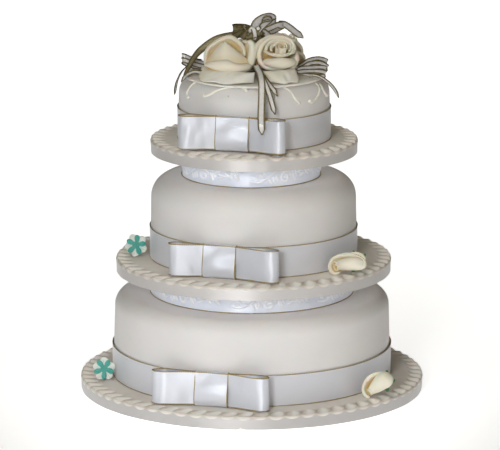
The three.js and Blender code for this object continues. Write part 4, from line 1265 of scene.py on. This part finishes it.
for seed, (name, leaf) in enumerate(LEAVES.items()):
    own = np.random.default_rng(seed + 40)
    u, v = eased(56, 0.01), eased(26, 0.025)
    side = (2 * u - 1)[:, None]
    v = v[None, :]
    reach = (leaf["far"] - leaf["near"] + LEAF_LONGER) * np.sqrt(1 - 0.96 * np.abs(side) ** 2.8)
    lobes = LOBE_SIZE * np.sin(side * own.uniform(5, 7) + own.uniform(0, 6)) * v
    out = leaf["near"] - LEAF_START + reach * v - LEAF_BEND * leaf["width"] * side ** 2 + lobes
    wave = WAVE_SIZE * np.sin(LEAF_WAVES * math.pi * u)[:, None] * v * (1 - 0.5 * v)
    up = LEAF_REST - LEAF_DROOP * v ** 3 + leaf["rise"] * (1 - v ** 2) + wave + LEAF_LIFT
    along_narrow, out_narrow = DIMPLE["narrow"]
    near = ((side - DIMPLE["along"]) * along_narrow) ** 2 + ((v - DIMPLE["out"]) * out_narrow) ** 2
    up = up - DIMPLE["depth"] * np.exp(-near)
    angle = math.radians(leaf["azimuth"])
    along = side * leaf["width"] / 2
    x = along * math.cos(angle) + out * math.sin(angle)
    y = along * math.sin(angle) - out * math.cos(angle)
    part = shell(np.stack(np.broadcast_arrays(x, y, up), -1), u, v[0], LEAF_THICKNESS, rim=0.03)
    piece(f"sugar_leaf_{name}", [part], [leaf_sugar], [f"leaf_{name}"], at=SPRAY_AT,
          crease=80)

# ------------------------------------------------------ wired ribbon of the spray
# Silver gauze ribbon with a dark gold wire in each edge, bent into loops and loose
# tails. The high lengths come from the knot that ties the stems behind the roses, and
# the others from the foot of the stems, under the roses.

GAUZE_WIDTH = 7.6
WIDTHS = {"loop_top": 9.2, "tail_front_long": 6.6, "tail_front_middle": 4.8, "tail_front_short": 4.4}
GAUZE_THICKNESS = 0.3
GAUZE_CRUMPLE = 0.35
WIRE_RADIUS = 0.65
# these loops are two narrow lengths side by side
PAIRED = ("loop_right_side", "loop_right_low", "loop_left_side")
PAIR_WIDTH = 4.4
PAIR_SHIFT = (0, 1.2, 2.6)
# these turn the ribbon's dull side to the front
# these lengths lie in shadow and take the darker gauze: painted shade
SHADED_LENGTHS = ("arch_left", "loop_left_low")
POINTED = 6.0
KNOT = [1, -5, 47]
FAR_FROM_KNOT = 30.0
# The middle line of each length above the plaque, and the direction across it at its
# start, middle and end.
SPRAY_RIBBONS = {
    "loop_top": (
        [[0, -6, 47], [1, -9, 54], [4, -12, 60], [10.5, -13, 64.5], [18, -12, 65.5], [22.5, -11, 62.5],
         [20.5, -12, 58.5], [14, -13, 55], [6, -11, 51], [2, -6, 47]],
        [[-0.95, -0.1, 0.35], [-0.2, -0.6, 0.7], [0.5, -0.4, -0.75]],
    ),
    "loop_right": (
        [[2, -6, 46], [8, -10, 48], [17, -10, 52], [26, -10, 56], [30, -5, 54], [24, 0, 49],
         [14, -1, 45.5], [3, -3, 46]],
        [[-0.3, -0.5, 0.8], [-0.3, -0.6, 0.7], [-0.2, -0.4, 0.9]],
    ),
    "tail_right_high": (
        [[26, -3, 56], [32, 0, 55], [38, -2, 52], [46, -3, 46], [54, -5, 40.5]],
        [[0.3, -0.4, 0.8], [0.4, -0.4, 0.8], [0.4, -0.4, 0.8]],
    ),
    "loop_left_high": (
        [[0, -7, 46], [-6, -11, 48], [-8.5, -13, 50], [-10, -9, 51.5], [-8.5, -4, 51.5], [-6, -3, 49.5],
         [0, -4, 47]],
        [[-0.6, -0.4, 0.6], [-0.7, -0.2, 0.6], [-0.5, 0.6, 0.5]],
    ),
    "loop_left_low": (
        [[0, -5, 46], [-6, -4, 48], [-14, -7, 50], [-23, -4, 51], [-20, 2, 51], [-9, 3, 50], [0, -2, 47]],
        [[0, -0.3, 0.9], [-0.1, -0.4, 0.9], [0, 0.4, 0.9]],
    ),
    "arch_left": (
        [[-4, 9, 43], [-24, 6, 41.5], [-42, 0, 38], [-55, -6, 30.5], [-65, -13, 21], [-72.5, -19, 9],
         [-76, -21, 2]],
        [[0.2, -0.7, -0.7], [0.4, -0.6, -0.6], [0.3, -1, 0]],
    ),
    "loop_left_side": (
        [[-50, 2, 8], [-56, -2, 10], [-66, -8, 14], [-77, -9, 19], [-79, -3, 17], [-72, 3, 12],
         [-58, 5, 9]],
        [[0, -0.3, 0.95], [0.1, 0, 1], [0, 0.3, 0.95]],
    ),
    "tail_left_front": (
        [[-52, -27, 6], [-59, -31, 7], [-66, -33, 8], [-74, -33, 4], [-80, -32, -3]],
        [[-0.2, -0.8, 0.5], [-0.2, -0.8, 0.5], [-0.4, -0.8, 0.2]],
    ),
    "tail_left_back": (
        [[-58, 17, 7], [-64, 20, 6], [-76, 24, 2], [-85, 24, -12], [-88, 22, -28]],
        [[0, 1, 0], [0.2, 1, 0], [0.3, 1, 0]],
    ),
    "tail_front_long": (
        [[2, -50, 18], [4, -58, 15], [6.5, -74, 12], [8, -84, 5], [8, -91, -8], [7.5, -99, -22],
         [7.5, -107, -35], [8.5, -109, -47]],
        [[1, 0, 0.1], [1, 0, 0], [1, 0, 0.1]],
    ),
    "tail_front_middle": (
        [[4, -50, 16], [6, -57, 12.5], [10, -77, 7], [15, -86, -3], [19, -89, -16], [22.5, -92, -28]],
        [[1, 0.1, 0.1], [1, 0.2, 0.3], [1, 0.2, 0.3]],
    ),
    "tail_front_short": (
        [[6, -50, 11], [8.5, -55, 8.5], [14.5, -73, 3.6], [20.5, -82.6, -2.2], [25, -85.8, -9]],
        [[1, 0.1, 0.1], [1, 0.3, 0.3], [1, 0.3, 0.3]],
    ),
    "loop_right_side": (
        [[50, -10, 9], [54, -12, 11], [62, -19, 17], [71, -20, 18], [80, -16, 13], [77, -8, 8],
         [62, -6, 8]],
        [[0, -0.5, 0.85], [0.2, -0.3, 0.9], [0, 0.3, 0.9]],
    ),
    "loop_right_low": (
        [[48, -28, 8], [52, -30, 9.5], [61, -34, 11], [71, -34, 11], [78, -30, 8.5], [75, -25, 4.6],
         [60, -22, 5]],
        [[0, -0.5, 0.85], [0.2, -0.3, 0.9], [0, 0.3, 0.9]],
    ),
    "tail_right_low": (
        [[54, -40, 6], [60, -43, 6], [70, -43, 5], [80, -41, -1], [87, -39, -10], [92, -38, -20]],
        [[0, -1, 0.4], [0.2, -0.9, 0.4], [0.3, -0.9, 0.2]],
    ),
}
# a smaller turn of the ribbon stands inside the top loop, and its start lies behind it
INSIDE_TOP = (
    [[8.3, -16, 60.2], [9.3, -16, 63.6], [12, -16, 66], [15, -16, 66.6], [18, -16, 65], [19.3, -16, 62.6],
     [14, -16, 61.4], [8.3, -16, 60.2]],
    [[0, 1, 0.2], [0, 1, 0.2], [0, 1, 0.2]],
)
INSIDE_WIDTH = 3.0
BEHIND_TOP = (
    [[5, -8, 50], [11, -9, 55], [16.5, -9.5, 59.5], [21, -10, 63]],
    [[0.7, 0.1, -0.7], [0.7, 0.1, -0.7], [0.7, 0.1, -0.7]],
)
BEHIND_WIDTH = 8.0


def woven(name, constants, low, high, edge_from, edge_colour):
    """Gauze between two colours, with its darker edges."""

    def varies(place):
        cloth = cloth_of(place)
        off = axis(cloth, 1)
        edge = spread(off.math("ABSOLUTE", off), edge_from, 0.44)
        weave = streaks(cloth, 0.25, 26, 3)
        return {
            "Base Color": tinted(edge * 0.9, clouded(weave, low, high), edge_colour),
            "Roughness": rough(noise(place, 200, 2), 0.25, 0.45),
            "Normal": bumped(weave, 0.35, 0.0003),
        }

    return finish(name, constants, varies)


def dark_wire_varies(place):
    worn = noise(place, 400, 2)
    return {
        "Base Color": tinted(spread(worn, 0.35, 0.7), seen(84, 74, 38), seen(134, 122, 74)),
        "Roughness": rough(worn, 0.35, 0.55),
    }


# the gauze's faint emission stands in for light through the sheer cloth: painted light
GAUZE_SHEEN_AND_GLOW = {
    "Metallic": 0.1, "Sheen Weight": 0.5, "Emission Color": (1, 0.98, 0.98, 1), "Emission Strength": 0.06,
}
gauze = woven("silver_gauze", GAUZE_SHEEN_AND_GLOW, seen(196, 192, 187), seen(230, 227, 225), 0.26,
              seen(108, 98, 58))
# a darker, olive copy of the gauze: painted shade for the lengths and knot folds that lie in shadow
shaded_gauze = woven("shaded_gauze", {"Metallic": 0.3}, seen(124, 113, 78), seen(176, 168, 138), 0.15,
                   seen(84, 74, 40))
dark_wire = finish("dark_wire", {"Metallic": 0.3}, dark_wire_varies)


def wired(route, ways, width=GAUZE_WIDTH, seed=0, pointed=False):
    """Parts of a wired ribbon along a smooth route, with the ways across it at its
    start, middle and end. A loose end is cut to a point."""
    line = smooth(route, 1.0)
    share = np.linspace(0, 1, len(line))[:, None]
    start, halfway, end = np.array(ways, float)
    across = (
        (1 - share) * (1 - 2 * share) * start
        + 4 * share * (1 - share) * halfway
        + share * (2 * share - 1) * end
    )
    left = len(line) * (1 - share)
    narrowed = width * (held(left / POINTED, 0.15) if pointed else 1 + 0 * left)
    parts = strip(line, across, narrowed, GAUZE_THICKNESS, columns=7, ripple=GAUZE_CRUMPLE, seed=seed,
                  wire=WIRE_RADIUS)
    parts[0]["cloth"][:, 1] /= width
    return parts


for seed, (name, (route, ways)) in enumerate(SPRAY_RIBBONS.items()):
    if name in PAIRED:
        parts = []
        for shift in (-1, 1):
            beside = shift * np.array(PAIR_SHIFT) * np.linspace(0.5, 1.2, len(route))[:, None]
            parts += wired(np.array(route) + beside, ways, PAIR_WIDTH, seed + 60 + shift)
    else:
        parts = wired(route, ways, WIDTHS.get(name, GAUZE_WIDTH), seed, pointed=name.startswith("tail"))
    if name == "loop_top":
        parts += wired(*INSIDE_TOP, INSIDE_WIDTH, seed) + wired(*BEHIND_TOP, BEHIND_WIDTH, seed)
    # lengths in shadow take the darker gauze, as painted shade
    cloth = shaded_gauze if name in SHADED_LENGTHS else gauze
    piece(f"gauze_{name}", parts, [cloth, dark_wire], [f"spray_ribbon_{name}"], at=SPRAY_AT)

# the lengths from the foot of the stems to where the side ribbons and the front tails
# come out from under the roses
FOOT_TIE = [2, 3, 3.5]
hidden = []
for seed, (name, (route, ways)) in enumerate(SPRAY_RIBBONS.items()):
    first = np.array(route[0], float)
    if np.linalg.norm(first - KNOT) > FAR_FROM_KNOT:
        halfway = (first + FOOT_TIE) / 2 + [0, 0, -1]
        hidden += wired([FOOT_TIE, halfway, first], [ways[0]] * 3, PAIR_WIDTH, seed + 90)
piece("gauze_under_roses", hidden, [gauze, dark_wire], at=SPRAY_AT)

# --------------------------------------------------------- knot and bound stems
# The stems are bound with florist's tape and stand in a pick on the plaque. A short
# length of the same ribbon is knotted round their top in tight folds.

STEM_LINE = [[1, 7, 1], [1, 3, 16], [1, -1, 32], KNOT]
STEM_RADIUS = 2.3
TAPE_RIDGE = 0.25
TAPE_TURN = 0.9
STEM_SIDES = 14
# the middle line of each fold, the ways across it, its width and whether it takes the
# darker gauze, as painted shade
KNOT_FOLDS = (
    ([[-4, -8, 42], [-5, -11, 46], [-4, -12, 50], [-2, -10, 53]],
     [[-0.9, -0.2, 0.2], [-1, -0.2, 0], [-0.9, 0.2, 0.3]], 5.5, False),
    ([[5, -8, 42], [6, -11, 46], [5.5, -12, 50], [3, -10, 53]],
     [[0.9, -0.2, 0.2], [1, -0.2, 0], [0.9, 0.2, 0.3]], 5.5, False),
    ([[-9, -9, 42], [-3, -12, 44], [1, -13, 46], [6, -12, 47], [11, -8, 50]],
     [[0.2, 0, 1], [0, 0, 1], [-0.3, 0, 1]], 6.5, True),
    ([[-1, -12, 52], [0.5, -13.5, 48], [1, -13.5, 44], [0, -12, 40]],
     [[1, 0, 0.2], [1, 0, 0], [1, 0, -0.2]], 5.0, False),
    ([[-14, -8, 40], [-10, -10, 45], [-6, -9, 49], [-3, -6, 47]],
     [[-0.6, -0.3, 0.7], [-0.5, -0.4, 0.7], [0, -0.5, 0.8]], 8.0, True),
    ([[-22, -3, 42], [-16, -6, 46], [-9, -6, 48], [-2, -5, 46]],
     [[-0.3, -0.4, 0.9], [-0.1, -0.5, 0.9], [0, -0.5, 0.9]], 8.0, True),
    ([[-12, -5, 37], [-4, -9, 40], [4, -9, 40.5], [13, -5, 38]],
     [[0, -0.2, 1], [0, 0, 1], [0, -0.2, 1]], 8.5, True),
    ([[16, -6, 42], [13, -9, 46], [8, -9, 49], [3, -6, 47]],
     [[0.6, -0.4, 0.7], [0.5, -0.5, 0.7], [0, -0.5, 0.8]], 7.5, False),
)

folds = []
for seed, (route, ways, width, shaded_fold) in enumerate(KNOT_FOLDS):
    fold = wired(route, ways, width, seed + 30)
    # a fold in shadow takes the darker gauze: painted shade
    if shaded_fold:
        fold[0]["material"] = 3
    folds += fold
stem_line = smooth(STEM_LINE, 1.0)
wound = STEM_RADIUS + TAPE_RIDGE * np.sin(np.arange(len(stem_line)) * TAPE_TURN)
bound = tube(stem_line, wound[:, None], STEM_SIDES, material=2)
tape = sugar_paste("florist_tape", seen(74, 70, 44), seen(98, 92, 60), seen(66, 60, 36))
piece("spray_knot_folds", [*folds, bound], [gauze, dark_wire, tape, shaded_gauze],
      ["spray_knot"], at=SPRAY_AT)

# ----------------------------------------------------- table, lights and camera
# A plain white table that glows a little in a pool round the cake and far away. A broad
# soft light stands at the front left, a weak window light further left and a small warm
# lamp at the front right, under a wide ceiling light.

TABLE_HALF = 7.0
POOL = {"Location": (0, -0.67, 0), "Scale": (1.9, 0.42, 0)}


def length_of(vector):
    """How long a vector is, at each point."""
    return vector.node("ShaderNodeVectorMath", {"operation": "LENGTH"}, {0: vector}, output=1)


def table_varies(place):
    oval = place.node("ShaderNodeMapping", None, {"Vector": place, **POOL})
    pool = spread(length_of(oval), 0.85, 1.25, 1, 0) * spread(axis(place, 1), 0.1, 1.2, 0.7, 1.05)
    far = spread(length_of(place), 1.0, 2.4, 0, 0.85)
    return {
        "Base Color": tinted(noise(place, 3, 2), (0.84, 0.84, 0.84, 1), (0.88, 0.88, 0.88, 1)),
        "Emission Color": tinted(pool + far * (1 - pool), (0, 0, 0, 1), (1, 1, 1, 1)),
    }


table_finish = finish("table", {"Roughness": 0.7, "Emission Strength": 1.06}, table_varies)
spots = np.stack(np.meshgrid(np.linspace(-1, 1, 9), np.linspace(-1, 1, 9)), -1) * TABLE_HALF
part = grid(np.concatenate([spots, np.zeros((9, 9, 1))], -1))
mesh = bpy.data.meshes.new("table")
mesh.from_pydata(part["points"].tolist(), [], part["faces"])
mesh.materials.append(table_finish)
table = bpy.data.objects.new("table", mesh)
bpy.context.scene.collection.objects.link(table)


def soft_light(name, place, aim, size, power, colour, beam=180):
    """A square light that faces its aim, with its beam's width in degrees."""
    lamp = bpy.data.lights.new(name, "AREA")
    lamp.spread = math.radians(beam)
    lamp.size, lamp.energy, lamp.color = size, power, colour
    made = bpy.data.objects.new(name, lamp)
    made.location = place
    made.rotation_euler = (Vector(aim) - Vector(place)).to_track_quat("-Z", "Y").to_euler()
    bpy.context.scene.collection.objects.link(made)


soft_light("key", (-0.95, -3.9, 1.4), (0, 0, -0.12), 1.0, 3.25, (0.97, 0.985, 1), beam=34)
soft_light("window", (-2.6, -1.5, 0.35), (0, 0, -0.15), 0.8, 0.1, (0.8, 0.9, 1), beam=30)
soft_light("lamp", (2.4, -2.0, 1.0), (0.05, 0, 0.26), 0.3, 0.03, (1, 0.9, 0.74), beam=10)
soft_light("ceiling", (-0.2, -1.0, 2.4), (0, 0, 0), 1.4, 11.4, (1, 0.95, 0.82))

world = bpy.data.worlds.new("room")
world.use_nodes = True
room = world.node_tree.nodes["Background"]
room.inputs["Color"].default_value = (1, 0.92, 0.62, 1)
room.inputs["Strength"].default_value = 0.05
bpy.context.scene.world = world
bpy.context.scene.view_settings.view_transform = "Standard"

CAMERA_PLACE = (-0.002, -4.328, 1.1642)
CAMERA_DOWN = 12.78
CAMERA_LENS = 288.2
eye = bpy.data.cameras.new("camera")
eye.lens, eye.sensor_width, eye.clip_end = CAMERA_LENS, 36, 100
camera = bpy.data.objects.new("camera", eye)
camera.location = CAMERA_PLACE
camera.rotation_euler = (math.radians(90 - CAMERA_DOWN), 0, 0)
bpy.context.scene.collection.objects.link(camera)
bpy.context.scene.camera = camera
